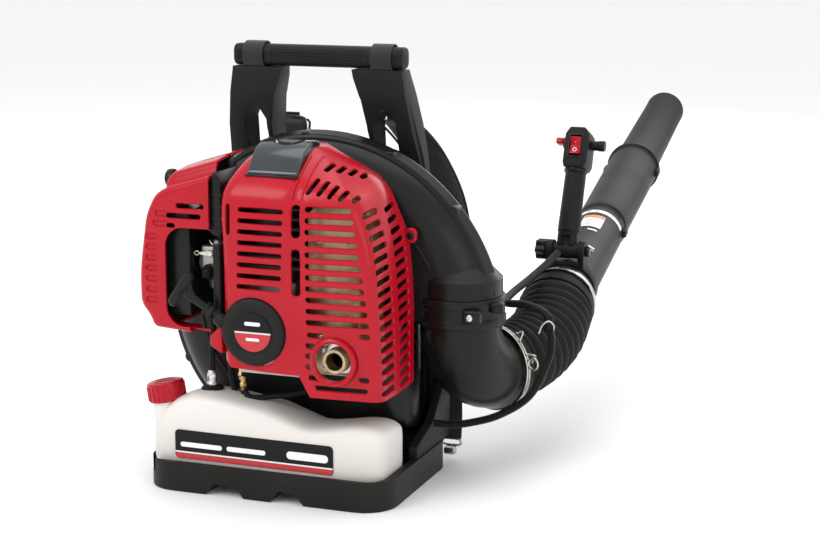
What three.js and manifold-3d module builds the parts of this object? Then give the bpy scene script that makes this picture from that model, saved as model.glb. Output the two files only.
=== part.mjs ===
// Backpack leaf blower: a two-stroke engine drives a centrifugal fan in a scroll housing,
// carried on an L-shaped back frame, with an elbow, a flexible hose and three blower pipes.
// Millimetres. +X is the wearer's right, +Y the way the wearer faces, +Z up.
// The origin is on the floor under the crankshaft's plane, at the middle of the base.
import * as THREE from "three";
import { mergeVertices } from "three/addons/utils/BufferGeometryUtils.js";
import Module from "manifold-3d";

const wasm = await Module();
wasm.setup();

// ---- driving dimensions -------------------------------------------------------------------
const GAP = 0.3; // between pieces that touch
const WALL = 3; // moulded shells
const AXIS_Z = 197; // crankshaft and fan axis above the floor

const BASE_HALF = 150; // half width of the base
const BASE_FRONT = -110;
const BASE_BACK = 110;
const BASE_RIM = 34;
const BASE_FLOOR = 17;
const FOOT_HEIGHT = 13;
const PLATE_Y = 98; // front face of the back plate
const BAR_LOW = 470; // underside of the carrying bar
const BAR_HIGH = 496;
const BAR_HALF = 106;

const SCROLL_START = 176; // scroll radius at its tongue
const SCROLL_GROWTH = 56; // added by the time it reaches the outlet
const SCROLL_FRONT = 0;
const SCROLL_SEAM = 41;
const SCROLL_BACK = 82;
const DUCT_RADIUS = 48;
const DUCT_X = 184;

const HOSE_RADIUS = 47;
const PIPE_RADIUS = 34;
const PIPE_START = new THREE.Vector3(232, 290, 167);
const PIPE_DIRECTION = new THREE.Vector3(-0.055, 0.9765, 0.208).normalize();
const SWIVEL_END = 250; // along the pipe, from PIPE_START
const MIDDLE_END = 500;
const NOZZLE_END = 768;

const PIVOT = new THREE.Vector3(228, 327, 224); // handle's tilt axis, along X
const HANDLE_DIRECTION = new THREE.Vector3(0, 0.36, 0.93).normalize();

const BORE_RADIUS = 26;
const STARTER_RADIUS = 38;
const EXHAUST_X = 93;
const EXHAUST_Z = 170;

// ---- materials ----------------------------------------------------------------------------
const finish = (color, roughness, metalness) =>
  new THREE.MeshStandardMaterial({ color, roughness, metalness });
const blackPlastic = finish(0x1c1d1e, 0.45, 0);
const greyPlastic = finish(0x2c2e2c, 0.6, 0);
const redPlastic = finish(0xc8102a, 0.35, 0);
const smokedPlastic = finish(0x1d262b, 0.15, 0);
const tankPlastic = finish(0xf0ebe4, 0.4, 0);
const rubber = finish(0x18191a, 0.75, 0);
const fabric = finish(0x17181a, 0.95, 0);
const webbing = finish(0x131415, 0.9, 0);
const aluminium = finish(0xb9b8b2, 0.4, 1);
const steel = finish(0xc9c3b4, 0.3, 1);
const shieldSteel = finish(0xb39f74, 0.45, 1);
const filterFoam = finish(0x4a4a44, 0.95, 0);

// ---- shape helpers ------------------------------------------------------------------------
function solidOf(geometry) {
  const bare = geometry.clone();
  bare.deleteAttribute("normal");
  bare.deleteAttribute("uv");
  const merged = mergeVertices(bare, 1e-4);
  const triVerts = new Uint32Array(merged.index.array);
  const vertProperties = merged.attributes.position.array;
  const made = new wasm.Manifold(new wasm.Mesh({ numProp: 3, vertProperties, triVerts }));
  if (made.volume() > 0) return made;
  for (let i = 0; i < triVerts.length; i += 3) {
    [triVerts[i + 1], triVerts[i + 2]] = [triVerts[i + 2], triVerts[i + 1]];
  }
  return new wasm.Manifold(new wasm.Mesh({ numProp: 3, vertProperties, triVerts }));
}

function geometryOf(solid) {
  const mesh = solid.getMesh();
  const geometry = new THREE.BufferGeometry();
  geometry.setAttribute("position", new THREE.BufferAttribute(mesh.vertProperties, 3));
  geometry.setIndex(new THREE.BufferAttribute(mesh.triVerts, 1));
  return geometry;
}

const join = (first, ...rest) =>
  geometryOf(rest.reduce((sum, g) => sum.add(solidOf(g)), solidOf(first)));
const cut = (first, ...tools) =>
  geometryOf(tools.reduce((left, g) => left.subtract(solidOf(g)), solidOf(first)));
const common = (a, b) => geometryOf(solidOf(a).intersect(solidOf(b)));

function block(x0, x1, y0, y1, z0, z1) {
  const box = new THREE.BoxGeometry(x1 - x0, y1 - y0, z1 - z0);
  return box.translate((x0 + x1) / 2, (y0 + y1) / 2, (z0 + z1) / 2);
}

// A flat outline given as [a, b] points, extruded by depth.
function outline(points) {
  return new THREE.Shape(points.map(([a, b]) => new THREE.Vector2(a, b)));
}

const extruded = (shape, depth) =>
  new THREE.ExtrudeGeometry(shape, { depth, bevelEnabled: false, curveSegments: 3 });

// An outline in X and Z, from y0 to y1.
const alongY = (shape, y0, y1) => extruded(shape, y1 - y0).rotateX(Math.PI / 2).translate(0, y1, 0);

// An outline in X and Y, from z0 to z1.
const alongZ = (shape, z0, z1) => extruded(shape, z1 - z0).translate(0, 0, z0);

// An outline in Y and Z, from x0 to x1.
const alongX = (shape, x0, x1) =>
  extruded(shape, x1 - x0).rotateX(Math.PI / 2).rotateZ(Math.PI / 2).translate(x0, 0, 0);

function roundedRectangle(a0, a1, b0, b1, r) {
  const shape = new THREE.Shape();
  shape.moveTo(a0 + r, b0);
  shape.lineTo(a1 - r, b0);
  shape.absarc(a1 - r, b0 + r, r, -Math.PI / 2, 0, false);
  shape.lineTo(a1, b1 - r);
  shape.absarc(a1 - r, b1 - r, r, 0, Math.PI / 2, false);
  shape.lineTo(a0 + r, b1);
  shape.absarc(a0 + r, b1 - r, r, Math.PI / 2, Math.PI, false);
  shape.lineTo(a0, b0 + r);
  shape.absarc(a0 + r, b0 + r, r, Math.PI, 1.5 * Math.PI, false);
  return shape;
}

// Turns a profile of [radius, height] points about an axis that starts at origin.
function turned(profile, origin, direction, sides = 18) {
  const points = profile.map(([r, h]) => new THREE.Vector2(r, h));
  const turn = new THREE.Quaternion().setFromUnitVectors(
    new THREE.Vector3(0, 1, 0),
    direction.clone().normalize(),
  );
  const lathe = new THREE.LatheGeometry(points, sides).applyQuaternion(turn);
  return lathe.translate(origin.x, origin.y, origin.z);
}

const AXIS_X = new THREE.Vector3(1, 0, 0);
const AXIS_Y = new THREE.Vector3(0, 1, 0);
const AXIS_UP = new THREE.Vector3(0, 0, 1);
const at = (x, y, z) => new THREE.Vector3(x, y, z);

// A solid disc or rod of one radius, from origin along direction.
const rod = (origin, direction, radius, length, sides = 16) =>
  turned([[0, 0], [radius, 0], [radius, length], [0, length]], origin, direction, sides);

// A sleeve: a tube of one length along a straight line.
const sleeve = (origin, direction, outer, inner, length, sides = 20) =>
  turned(
    [[inner, 0], [outer, 0], [outer, length], [inner, length], [inner, 0]],
    origin,
    direction,
    sides,
  );

function circle(radius, sides) {
  return Array.from({ length: sides }, (_, i) => {
    const angle = (2 * Math.PI * i) / sides;
    return [radius * Math.cos(angle), radius * Math.sin(angle)];
  });
}

// A section swept along a smooth curve through points.
function swept(points, section, steps, hole = null) {
  const curve = new THREE.CatmullRomCurve3(points.map((p) => at(...p)), false, "centripetal");
  const shape = outline(section);
  if (hole) shape.holes.push(new THREE.Path(hole.map(([a, b]) => new THREE.Vector2(a, b))));
  return new THREE.ExtrudeGeometry(shape, { steps, bevelEnabled: false, extrudePath: curve });
}

// Joins rings of points, each of the same count, into one skin. Closed rings of rings need no ends.
function lofted(rings, closed = false) {
  const count = rings[0].length;
  const vertices = rings.flat(2);
  const faces = [];
  const last = closed ? rings.length : rings.length - 1;
  for (let i = 0; i < last; i += 1) {
    const here = i * count;
    const next = ((i + 1) % rings.length) * count;
    for (let j = 0; j < count; j += 1) {
      const k = (j + 1) % count;
      faces.push(here + j, here + k, next + k, here + j, next + k, next + j);
    }
  }
  if (!closed) {
    const end = (rings.length - 1) * count;
    for (let j = 1; j < count - 1; j += 1) {
      faces.push(0, j + 1, j, end, end + j, end + j + 1);
    }
  }
  const geometry = new THREE.BufferGeometry();
  geometry.setAttribute("position", new THREE.Float32BufferAttribute(vertices, 3));
  geometry.setIndex(faces);
  return geometry;
}

const smooth = (points) =>
  new THREE.CatmullRomCurve3(points.map((p) => at(...p)), false, "centripetal");

// Rings of a flat section at even steps along a curve, its width lying as near across as it can.
function ringsAlong(curve, section, across, steps, from = 0, to = 1) {
  const rings = [];
  for (let i = 0; i <= steps; i += 1) {
    const place = from + ((to - from) * i) / steps;
    const middle = curve.getPointAt(place);
    const tangent = curve.getTangentAt(place);
    const side = across.clone().addScaledVector(tangent, -across.dot(tangent)).normalize();
    const up = tangent.clone().cross(side);
    rings.push(section.map(([a, b]) =>
      middle.clone().addScaledVector(side, a).addScaledVector(up, b).toArray()));
  }
  return rings;
}

// A flat ribbon with chamfered edges.
function ribbon(points, halfWidth, halfThickness, across, steps) {
  const w = halfWidth;
  const t = halfThickness;
  const c = Math.min(t * 0.6, w * 0.6);
  const section = [[-w, -t + c], [-w + c, -t], [w - c, -t], [w, -t + c], [w, t - c], [w - c, t],
    [-w + c, t], [-w, t - c]];
  return lofted(ringsAlong(smooth(points), section, across, steps));
}

// A hollow tube along part of a curve.
function hollow(curve, from, to, outer, inner, steps, sides) {
  const outside = ringsAlong(curve, circle(outer, sides), AXIS_X, steps, from, to);
  const inside = ringsAlong(curve, circle(inner, sides), AXIS_X, steps, from, to);
  return lofted([...outside, ...inside.reverse()], true);
}

const mirrored = (geometry) => geometryOf(solidOf(geometry.clone().scale(-1, 1, 1)));
const onPipe = (distance) => PIPE_START.clone().addScaledVector(PIPE_DIRECTION, distance);

const blower = new THREE.Group();
function add(name, geometry, material) {
  const mesh = new THREE.Mesh(geometryOf(solidOf(geometry)), material);
  mesh.name = name;
  blower.add(mesh);
  return mesh;
}

// ---- back frame ---------------------------------------------------------------------------
// A moulded tray on three feet holds the tank and the scroll housing.
function frameBase() {
  const tray = alongZ(
    roundedRectangle(-BASE_HALF, BASE_HALF, BASE_FRONT, BASE_BACK, 38),
    0,
    BASE_RIM,
  );
  const pocket = alongZ(
    roundedRectangle(-BASE_HALF + 3, BASE_HALF - 10, BASE_FRONT + 7, PLATE_Y - GAP, 20),
    BASE_FLOOR,
    BASE_RIM + 10,
  );
  // Each channel between the feet is wide at the floor and narrow above.
  const channel = (low0, low1, high0, high1) =>
    alongY(
      outline([[low0, -1], [low1, -1], [high1, FOOT_HEIGHT], [high0, FOOT_HEIGHT]]),
      BASE_FRONT - 5,
      BASE_BACK + 5,
    );
  return cut(tray, pocket, channel(-70, -21, -59, -31), channel(10, 53, 21, 41));
}
add("frame_base", frameBase(), greyPlastic);

// The back plate with stiffening flanges, side gussets down to the tray and two legs that
// carry the bar. Each leg has an arched window for the shoulder strap.
function frameBack() {
  const foot = BASE_RIM + GAP;
  const plate = alongY(
    outline([[-148, foot], [148, foot], [148, 100], [126, 140], [126, 330], [104, 372],
      [-104, 372], [-126, 330], [-126, 140], [-148, 100]]),
    PLATE_Y,
    PLATE_Y + 10,
  );
  const window = rod(at(0, PLATE_Y - 5, AXIS_Z + 8), AXIS_Y, 78, 25, 20);
  const leg = common(
    alongX(outline([[58, BAR_LOW], [83, BAR_LOW], [96, 440], [106, 405], [110, 372], [108, 330],
      [98, 330], [86, 345], [76, 374], [66, 400], [58, 440]]), 40, 130),
    alongY(outline([[44, BAR_LOW], [106, BAR_LOW], [116, 397], [122, 349], [126, 330],
      [66, 330], [60, 405], [55, 435], [46, 460]]), 50, 115),
  );
  const strapWindow = alongY(
    outline([[67, 372], [96, 372], [96, 408], [90, 420], [82, 425], [74, 420], [67, 408]]),
    40,
    120,
  );
  const flange = block(119, 126, SCROLL_BACK + 3, PLATE_Y + 1, 60, 335);
  const gusset = alongX(
    outline([[-5, foot], [108, foot], [108, 112], [96, 112], [50, 66], [-5, 48]]),
    138,
    148,
  );
  const rib = (z) => block(-120, 120, PLATE_Y - 5, PLATE_Y + 1, z, z + 5);
  const halves = [leg, flange, gusset].flatMap((g) => [g, mirrored(g)]);
  const whole = join(plate, ...halves, rib(70), rib(95), rib(310), rib(335));
  return cut(whole, window, strapWindow, mirrored(strapWindow));
}
add("frame_back", frameBack(), greyPlastic);

function carryHandle() {
  return alongX(roundedRectangle(59, 84, BAR_LOW + GAP, BAR_HIGH, 8), -BAR_HALF, BAR_HALF);
}
add("carry_handle", carryHandle(), greyPlastic);

// Rubber mounts hold the scroll housing to the frame.
const MOUNT_X = 122;
const MOUNT_Y = 45;
const MOUNT_TOP = 50;
for (const [side, x] of [["left", -MOUNT_X], ["right", MOUNT_X]]) {
  const bush = turned(
    [[0, 0], [12, 0], [12, 5], [8, 10], [8, 23], [12, 28], [12, 32.4], [0, 32.4]],
    at(x, MOUNT_Y, BASE_FLOOR + GAP),
    AXIS_UP,
    16,
  );
  add(`rubber_mount_${side}`, bush, rubber);
}

// ---- harness ------------------------------------------------------------------------------
const PAD_FACE = PLATE_Y + 10 + GAP; // the wearer's side of the back plate
add("back_pad", alongY(roundedRectangle(-95, 95, 110, 320, 25), PAD_FACE, PAD_FACE + 26), fabric);

// Webbing loops round the carrying bar and runs down to a wide pad that bulges away from
// the plate, then comes back in to its adjuster low on the frame.
function shoulderStrap() {
  const loop = cut(block(66.5, 93.5, 56, 87, BAR_LOW - 2.5, BAR_HIGH + 3),
    block(60, 107, 59 - GAP, 84 + GAP, BAR_LOW - GAP, BAR_HIGH + GAP),
    block(60, 107, 50, 85.5, BAR_LOW - 10, BAR_LOW + 2));
  const tail = ribbon(
    [[80, 85.9, 479], [80, 90, 466], [80, 103, 437], [78, 116, 410], [70, 130, 402]],
    13, 1.2, AXIS_X, 6,
  );
  const pad = ribbon(
    [[66, 126, 404], [74, 152, 398], [92, 178, 362], [112, 190, 306], [124, 184, 240],
      [128, 164, 176]],
    29, 8, AXIS_X, 10,
  );
  return join(loop, tail, pad);
}
const strap = shoulderStrap();
add("shoulder_strap_right", strap, fabric);
add("shoulder_strap_left", mirrored(strap), fabric);

// Lower webbing runs from the pad's end to a wire hook in the frame's bottom corner.
const lowerStrap = ribbon(
  [[129, 158, 160], [134, 150, 130], [141, 136, 84], [145, 126, 48], [145.5, 122, 26]],
  13, 1.2, AXIS_X, 8,
);
add("lower_strap_right", lowerStrap, webbing);
add("lower_strap_left", mirrored(lowerStrap), webbing);

function strapHook() {
  const ring = cut(block(131, 161, 118.5, 125.5, 14, 25), block(135, 157, 110, 130, 18, 21));
  return join(ring, block(139, 153, 110.5, 121, 6, 16));
}
add("strap_hook_right", strapHook(), steel);
add("strap_hook_left", mirrored(strapHook()), steel);

// ---- scroll housing -----------------------------------------------------------------------
const TONGUE = (300 * Math.PI) / 180; // the scroll starts here and runs clockwise, seen from -Y
function scrollRadius(travel) {
  const full = (300 * Math.PI) / 180;
  if (travel <= full) return SCROLL_START + SCROLL_GROWTH * (travel / full) ** 2.4;
  return SCROLL_START + SCROLL_GROWTH * ((2 * Math.PI - travel) / (2 * Math.PI - full));
}

// The scroll's section at one place: a flat-faced disc with a rounded rim.
function scrollSection(radius, hub, inset) {
  const front = SCROLL_FRONT + inset;
  const back = SCROLL_BACK - inset;
  const rim = radius - inset;
  const depth = (back - front) / 2;
  const shoulder = Math.min(46, rim - 124);
  const bulge = [];
  for (let i = 0; i <= 5; i += 1) {
    const angle = -Math.PI / 2 + (Math.PI * i) / 5;
    bulge.push([rim - shoulder + shoulder * Math.cos(angle),
      front + depth + depth * Math.sin(angle)]);
  }
  return [[hub, front], ...bulge, [hub, back]];
}

function scrollBody(hub, inset) {
  const steps = 26;
  const rings = [];
  for (let i = 0; i < steps; i += 1) {
    const travel = (2 * Math.PI * i) / steps;
    const angle = TONGUE - travel;
    rings.push(
      scrollSection(scrollRadius(travel), hub, inset).map(([r, y]) => [
        r * Math.cos(angle),
        y,
        AXIS_Z + r * Math.sin(angle),
      ]),
    );
  }
  return lofted(rings, true);
}

const BAND_TOP = 222; // the outlet collar
const BAND_LOW = 190;
const INTAKE_RADIUS = 92;
const HUB_HOLE = 40;

function scrollHousing() {
  const duct = rod(at(DUCT_X, SCROLL_SEAM, BAND_TOP + GAP), AXIS_UP, DUCT_RADIUS, 30, 20);
  const ductBore = rod(at(DUCT_X, SCROLL_SEAM, BAND_TOP - 5), AXIS_UP, DUCT_RADIUS - WALL, 36, 20);
  const belowOutlet = block(132, 260, -20, 110, 60, BAND_TOP + GAP);
  const outside = cut(join(scrollBody(HUB_HOLE, 0), duct), belowOutlet);
  const inside = cut(scrollBody(HUB_HOLE - 4, WALL), block(129, 260, -20, 110, 60, BAND_TOP + 4));
  return cut(outside, inside, ductBore);
}
const housing = scrollHousing();
const FAR = 400;
add("volute_front", common(housing, block(-FAR, FAR, -FAR, SCROLL_SEAM - GAP / 2, -FAR, FAR)),
  blackPlastic);
// A guard of rings and spokes over the air intake, moulded with the rear shell.
function intakeGuard() {
  const y = SCROLL_BACK - WALL;
  const rings = [INTAKE_RADIUS + 3, 56].map((r) =>
    sleeve(at(0, y, AXIS_Z), AXIS_Y, r, r - 5, WALL, 22));
  const spokes = [0, 1, 2].map((i) =>
    block(-92, 92, y, y + WALL, -2.5, 2.5).rotateY((i * Math.PI) / 3).translate(0, 0, AXIS_Z));
  return join(rings[0], ...rings.slice(1), ...spokes);
}
const rearShell = cut(
  common(housing, block(-FAR, FAR, SCROLL_SEAM + GAP / 2, FAR, -FAR, FAR)),
  rod(at(0, SCROLL_BACK - 10, AXIS_Z), AXIS_Y, INTAKE_RADIUS, 20, 24),
);
const mountingLug = (side) => block(side * MOUNT_X - 12, side * MOUNT_X + 12, MOUNT_Y - 2,
  MOUNT_Y + 12, MOUNT_TOP, 84);
add("volute_rear", join(rearShell, intakeGuard(),
  ...[1, -1].map((side) => cut(mountingLug(side), scrollBody(HUB_HOLE - 4, WALL)))), blackPlastic);

// ---- outlet, elbow and hose ---------------------------------------------------------------
const outletBand = sleeve(at(DUCT_X, SCROLL_SEAM, BAND_LOW), AXIS_UP, DUCT_RADIUS + 4,
  DUCT_RADIUS - WALL, BAND_TOP - BAND_LOW);
add("outlet_band", outletBand, blackPlastic);

const ELBOW_END = at(205, 112, 122);
const ELBOW_OUT = at(0.3, 0.954, 0).normalize();
const elbowCurve = smooth([
  [DUCT_X, SCROLL_SEAM, BAND_LOW - GAP], [DUCT_X, SCROLL_SEAM, 176], [187, 52, 152],
  [193, 74, 131], ELBOW_END.clone().addScaledVector(ELBOW_OUT, -14).toArray(), ELBOW_END.toArray(),
]);
add("elbow", hollow(elbowCurve, 0, 1, DUCT_RADIUS, DUCT_RADIUS - WALL, 9, 18), blackPlastic);

// The hose is one moulding that bends. It is drawn as a lower bend, a middle and an upper bend.
const CUFF_START = -16; // along the pipe, from PIPE_START
const alongElbow = (distance) => ELBOW_END.clone().addScaledVector(ELBOW_OUT, distance).toArray();
const hoseCurve = smooth([
  alongElbow(GAP), alongElbow(16), [222, 156, 125], [231, 190, 132], [235.5, 222, 143],
  onPipe(CUFF_START - 14).toArray(), onPipe(CUFF_START).toArray(),
]);
const hosePart = (from, to, steps) =>
  hollow(hoseCurve, from, to, HOSE_RADIUS, HOSE_RADIUS - WALL, steps, 18);
add("hose_lower", hosePart(0, 0.448, 6), rubber);
add("hose_middle", hosePart(0.45, 0.55, 2), rubber);
add("hose_upper", hosePart(0.552, 0.998, 6), rubber);

// A wire clamp with an eye holds the hose on the elbow.
const clampCentre = ELBOW_END.clone().addScaledVector(ELBOW_OUT, -9);
const clampSide = ELBOW_OUT.clone().cross(AXIS_UP);
const onClamp = (radius, degrees) =>
  clampCentre.clone()
    .addScaledVector(clampSide, radius * Math.cos((degrees * Math.PI) / 180))
    .addScaledVector(AXIS_UP, radius * Math.sin((degrees * Math.PI) / 180));
function wireClamp() {
  const ring = sleeve(clampCentre, ELBOW_OUT, DUCT_RADIUS + 4, DUCT_RADIUS + 3 * GAP, 4, 20);
  const eye = sleeve(onClamp(58, 12), ELBOW_OUT, 8, 4.8, 3, 12);
  return join(ring, eye);
}
add("wire_clamp", wireClamp(), steel);

// ---- blower pipes -------------------------------------------------------------------------
const hoseCuff = sleeve(onPipe(CUFF_START + GAP), PIPE_DIRECTION, 43, PIPE_RADIUS + 1, 22);
add("hose_cuff", hoseCuff, rubber);
add("hose_clamp", sleeve(onPipe(-8), PIPE_DIRECTION, 45.5, 43 + GAP, 9), steel);

function swivelPipe() {
  const pipe = sleeve(onPipe(-12), PIPE_DIRECTION, PIPE_RADIUS, PIPE_RADIUS - 2.5,
    SWIVEL_END + 12);
  const collar = sleeve(onPipe(7), PIPE_DIRECTION, 40, PIPE_RADIUS - 1, 10);
  return join(pipe, collar);
}
add("swivel_pipe", swivelPipe(), greyPlastic);

// A bayonet socket with two lugs at the far end of each joint.
function lockRing(distance, radius) {
  const ring = sleeve(onPipe(distance), PIPE_DIRECTION, radius + 3, radius - 1, 8);
  const lugs = [1, -1].map((side) => {
    const centre = onPipe(distance - 8);
    return new THREE.BoxGeometry(7, 20, 11)
      .applyQuaternion(new THREE.Quaternion().setFromUnitVectors(AXIS_Y, PIPE_DIRECTION))
      .translate(centre.x + side * (radius + 2.5), centre.y, centre.z);
  });
  return [ring, ...lugs];
}

function middlePipe() {
  const pipe = turned(
    [[31.5, 0], [34.5, 0], [36, MIDDLE_END - SWIVEL_END - GAP],
      [33, MIDDLE_END - SWIVEL_END - GAP], [31.5, 0]],
    onPipe(SWIVEL_END + GAP),
    PIPE_DIRECTION,
    28,
  );
  const [ring, ...lugs] = lockRing(MIDDLE_END - 12, 36);
  return join(pipe, ring, ...lugs);
}
add("middle_pipe", cut(middlePipe(), rod(onPipe(SWIVEL_END - 1), PIPE_DIRECTION, 31.5,
  MIDDLE_END - SWIVEL_END + 2, 20)), greyPlastic);

const nozzle = turned(
  [[28.8, 0], [31.3, 0], [29, NOZZLE_END - MIDDLE_END], [26.5, NOZZLE_END - MIDDLE_END],
    [28.8, 0]],
  onPipe(MIDDLE_END + GAP),
  PIPE_DIRECTION,
  20,
);
add("nozzle_pipe", nozzle, greyPlastic);

// ---- control handle -----------------------------------------------------------------------
const CLAMP_AT = 46; // along the pipe
function handleClamp() {
  const strapRing = sleeve(onPipe(CLAMP_AT - 14), PIPE_DIRECTION, PIPE_RADIUS + 3.2,
    PIPE_RADIUS + GAP, 20);
  const ear = (side) => {
    const outer = rod(at(PIVOT.x + side * 17, PIVOT.y, PIVOT.z), at(side, 0, 0), 13, 8, 20);
    const post = block(-4, 4, -11, 11, -24, 0).translate(
      PIVOT.x + side * 21, PIVOT.y, PIVOT.z);
    return join(outer, post);
  };
  const whole = join(strapRing, ear(1), ear(-1));
  const pivotHole = rod(at(PIVOT.x - 40, PIVOT.y, PIVOT.z), AXIS_X, 4.2, 80, 16);
  return cut(whole, pivotHole, rod(onPipe(CLAMP_AT - 40), PIPE_DIRECTION, PIPE_RADIUS + GAP, 80, 20));
}
add("handle_clamp", handleClamp(), blackPlastic);

// The knob's bolt passes through both ears and the handle's foot.
function clampKnob() {
  const bolt = rod(at(PIVOT.x + 30, PIVOT.y, PIVOT.z), at(-1, 0, 0), 4, 66, 16);
  const head = rod(at(PIVOT.x + 25 + GAP, PIVOT.y, PIVOT.z), AXIS_X, 7, 5, 6);
  const knob = turned(
    [[0, 0], [9, 0], [13, 3], [13, 11], [9, 14], [0, 14]],
    at(PIVOT.x - 25 - GAP, PIVOT.y, PIVOT.z),
    at(-1, 0, 0),
    10,
  );
  return join(bolt, head, knob);
}
add("clamp_knob", clampKnob(), blackPlastic);

const handleTurn = new THREE.Quaternion().setFromUnitVectors(AXIS_UP, HANDLE_DIRECTION);
// Places a shape drawn upright about the pivot onto the leaning handle.
function leaning(geometry) {
  return geometry.applyQuaternion(handleTurn).translate(PIVOT.x, PIVOT.y, PIVOT.z);
}

function handleGrip() {
  const foot = rod(at(-16.5, 0, 0), AXIS_X, 10, 33, 20);
  const neck = alongZ(roundedRectangle(-13, 13, -11, 13, 8), 6, 26);
  const grip = turned([[0, 24], [14.5, 24], [13.5, 60], [13, 104.7], [0, 104.7]],
    at(0, 0, 0), AXIS_UP, 20);
  const whole = join(foot, neck, grip);
  const pivotHole = rod(at(-20, 0, 0), AXIS_X, 4.3, 40, 16);
  const cableSlot = block(-5.5, 5.5, -30, -5, 4, 18);
  return leaning(cut(whole, pivotHole, cableSlot));
}
add("handle_grip", handleGrip(), greyPlastic);

const HEAD_LOW = 105;
const HEAD_HIGH = 158;
function controlHead() {
  const body = alongZ(roundedRectangle(-15, 16, -17, 20, 6), HEAD_LOW, HEAD_HIGH);
  const switchPocket = block(-8, 8, -20, -10, HEAD_LOW + 14, HEAD_LOW + 42);
  const triggerPocket = block(-7, 7, 10, 24, HEAD_LOW - 2, HEAD_LOW + 34);
  return leaning(cut(body, switchPocket, triggerPocket));
}
add("control_head", controlHead(), greyPlastic);

add("stop_switch", leaning(alongX(
  outline([[-19, HEAD_LOW + 17], [-16, HEAD_LOW + 28], [-19.5, HEAD_LOW + 39.5],
    [-12, HEAD_LOW + 38], [-12, HEAD_LOW + 18]]),
  -7,
  7,
)), redPlastic);

// The finger trigger hangs below a pivot in the head and closes towards the grip.
const TRIGGER_Z = HEAD_LOW + 26;
add("throttle_trigger", leaning(alongX(
  outline([[10.5, TRIGGER_Z + 3.5], [18, TRIGGER_Z + 4], [32, TRIGGER_Z - 18],
    [33, TRIGGER_Z - 46], [28, TRIGGER_Z - 58], [25, TRIGGER_Z - 46], [24, TRIGGER_Z - 26],
    [12, TRIGGER_Z - 8]]),
  -5.5,
  5.5,
)), blackPlastic);

// A friction lever on the left holds the throttle, and a stub on the right carries its pivot.
const LEVER_Z = HEAD_LOW + 35;
add("speed_lever", leaning(join(
  rod(at(-15 - GAP, 2, LEVER_Z), at(-1, 0, 0), 8, 5, 16),
  block(-29, -18, -8, 8, LEVER_Z - 3, LEVER_Z + 5),
)), redPlastic);
add("lever_cap", leaning(turned(
  [[0, 0], [4.5, 0], [4.5, 4], [7, 5], [7, 16], [5.5, 18], [0, 18]],
  at(16 + GAP, 2, LEVER_Z - 2),
  AXIS_X,
  12,
)), blackPlastic);

// ---- engine -------------------------------------------------------------------------------
const CASE_FRONT = -92;
function crankcase() {
  const barrel = rod(at(0, CASE_FRONT, AXIS_Z), AXIS_Y, 38, SCROLL_FRONT - GAP - CASE_FRONT, 18);
  const deck = block(-32, 34, -84, -22, AXIS_Z + 30, 246);
  const hollow = rod(at(0, CASE_FRONT + 6, AXIS_Z), AXIS_Y, 31, 76, 20);
  const shaftWay = rod(at(0, CASE_FRONT - 5, AXIS_Z), AXIS_Y, 9.4, 110, 20);
  const mouth = rod(at(0, -53, AXIS_Z), AXIS_UP, BORE_RADIUS, 60, 20);
  const base = block(-36, 36, -80, -30, AXIS_Z - 58, AXIS_Z - 25);
  return cut(join(barrel, deck, base), hollow, shaftWay, mouth);
}
add("crankcase", crankcase(), aluminium);

const CYLINDER_BASE = 246 + GAP;
const CYLINDER_TOP = 350;
function cylinder() {
  const fins = Array.from({ length: 8 }, (_, i) =>
    alongZ(outline([[-34, -90], [46, -90], [46, -16], [-34, -16]]), 262 + i * 11, 265.5 + i * 11));
  const barrel = rod(at(0, -53, CYLINDER_BASE), AXIS_UP, BORE_RADIUS + 6,
    CYLINDER_TOP - CYLINDER_BASE, 20);
  const bore = rod(at(0, -53, CYLINDER_BASE - 5), AXIS_UP, BORE_RADIUS, 87, 20);
  const plugHole = rod(at(0, -53, 320), AXIS_UP, 6, 40, 12);
  return cut(join(barrel, ...fins), bore, plugHole);
}
add("cylinder", cylinder(), aluminium);

const PISTON_TOP = 326;
add("piston", cut(
  rod(at(0, -53, PISTON_TOP - 38), AXIS_UP, BORE_RADIUS - 0.3, 38, 20),
  rod(at(0, -53, PISTON_TOP - 40), AXIS_UP, BORE_RADIUS - 4, 34, 20),
), aluminium);

// Two webs and an offset crankpin on one shaft that also carries the fan.
function crankshaft() {
  const shaft = (y0, y1) => rod(at(0, y0, AXIS_Z), AXIS_Y, 9, y1 - y0, 20);
  const web = (y0) => rod(at(0, y0, AXIS_Z), AXIS_Y, 29, 10, 20);
  const pin = rod(at(0, -66, AXIS_Z + 17), AXIS_Y, 8, 26, 12);
  return join(shaft(-106, -60), web(-68), pin, web(-48), shaft(-48, 64));
}
add("crankshaft", crankshaft(), steel);

// The fan: a back disc, a boss and curved blades.
const FAN_RADIUS = 125;
function fan() {
  const boss = turned([[9.2, 0], [32, 0], [26, 44], [9.2, 44], [9.2, 0]], at(0, 14, AXIS_Z),
    AXIS_Y, 18);
  const disc = sleeve(at(0, 10, AXIS_Z), AXIS_Y, FAN_RADIUS, 9.2, 4, 36);
  const blades = Array.from({ length: 9 }, (_, i) => {
    const blade = ribbon(
      [[30, 0, 0], [60, 0, -9], [94, 0, -8], [FAN_RADIUS - 2, 0, 6]], 20, 1.5, AXIS_Y, 3,
    );
    const upright = blade.rotateY((2 * Math.PI * i) / 9);
    return upright.translate(0, 33, AXIS_Z);
  });
  return join(disc, boss, ...blades);
}
add("fan", fan(), aluminium);

function muffler() {
  const box = alongY(roundedRectangle(56, 116, 150, 338, 16), -98, -22);
  const stub = rod(at(EXHAUST_X, -116, EXHAUST_Z), AXIS_Y, 14, 20, 16);
  const chamber = alongY(roundedRectangle(57.5, 114.5, 151.5, 336.5, 14.5), -96.5, -23.5);
  return cut(join(box, stub), chamber, rod(at(EXHAUST_X, -120, EXHAUST_Z), AXIS_Y, 10, 40, 12));
}
add("muffler", muffler(), shieldSteel);

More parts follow.
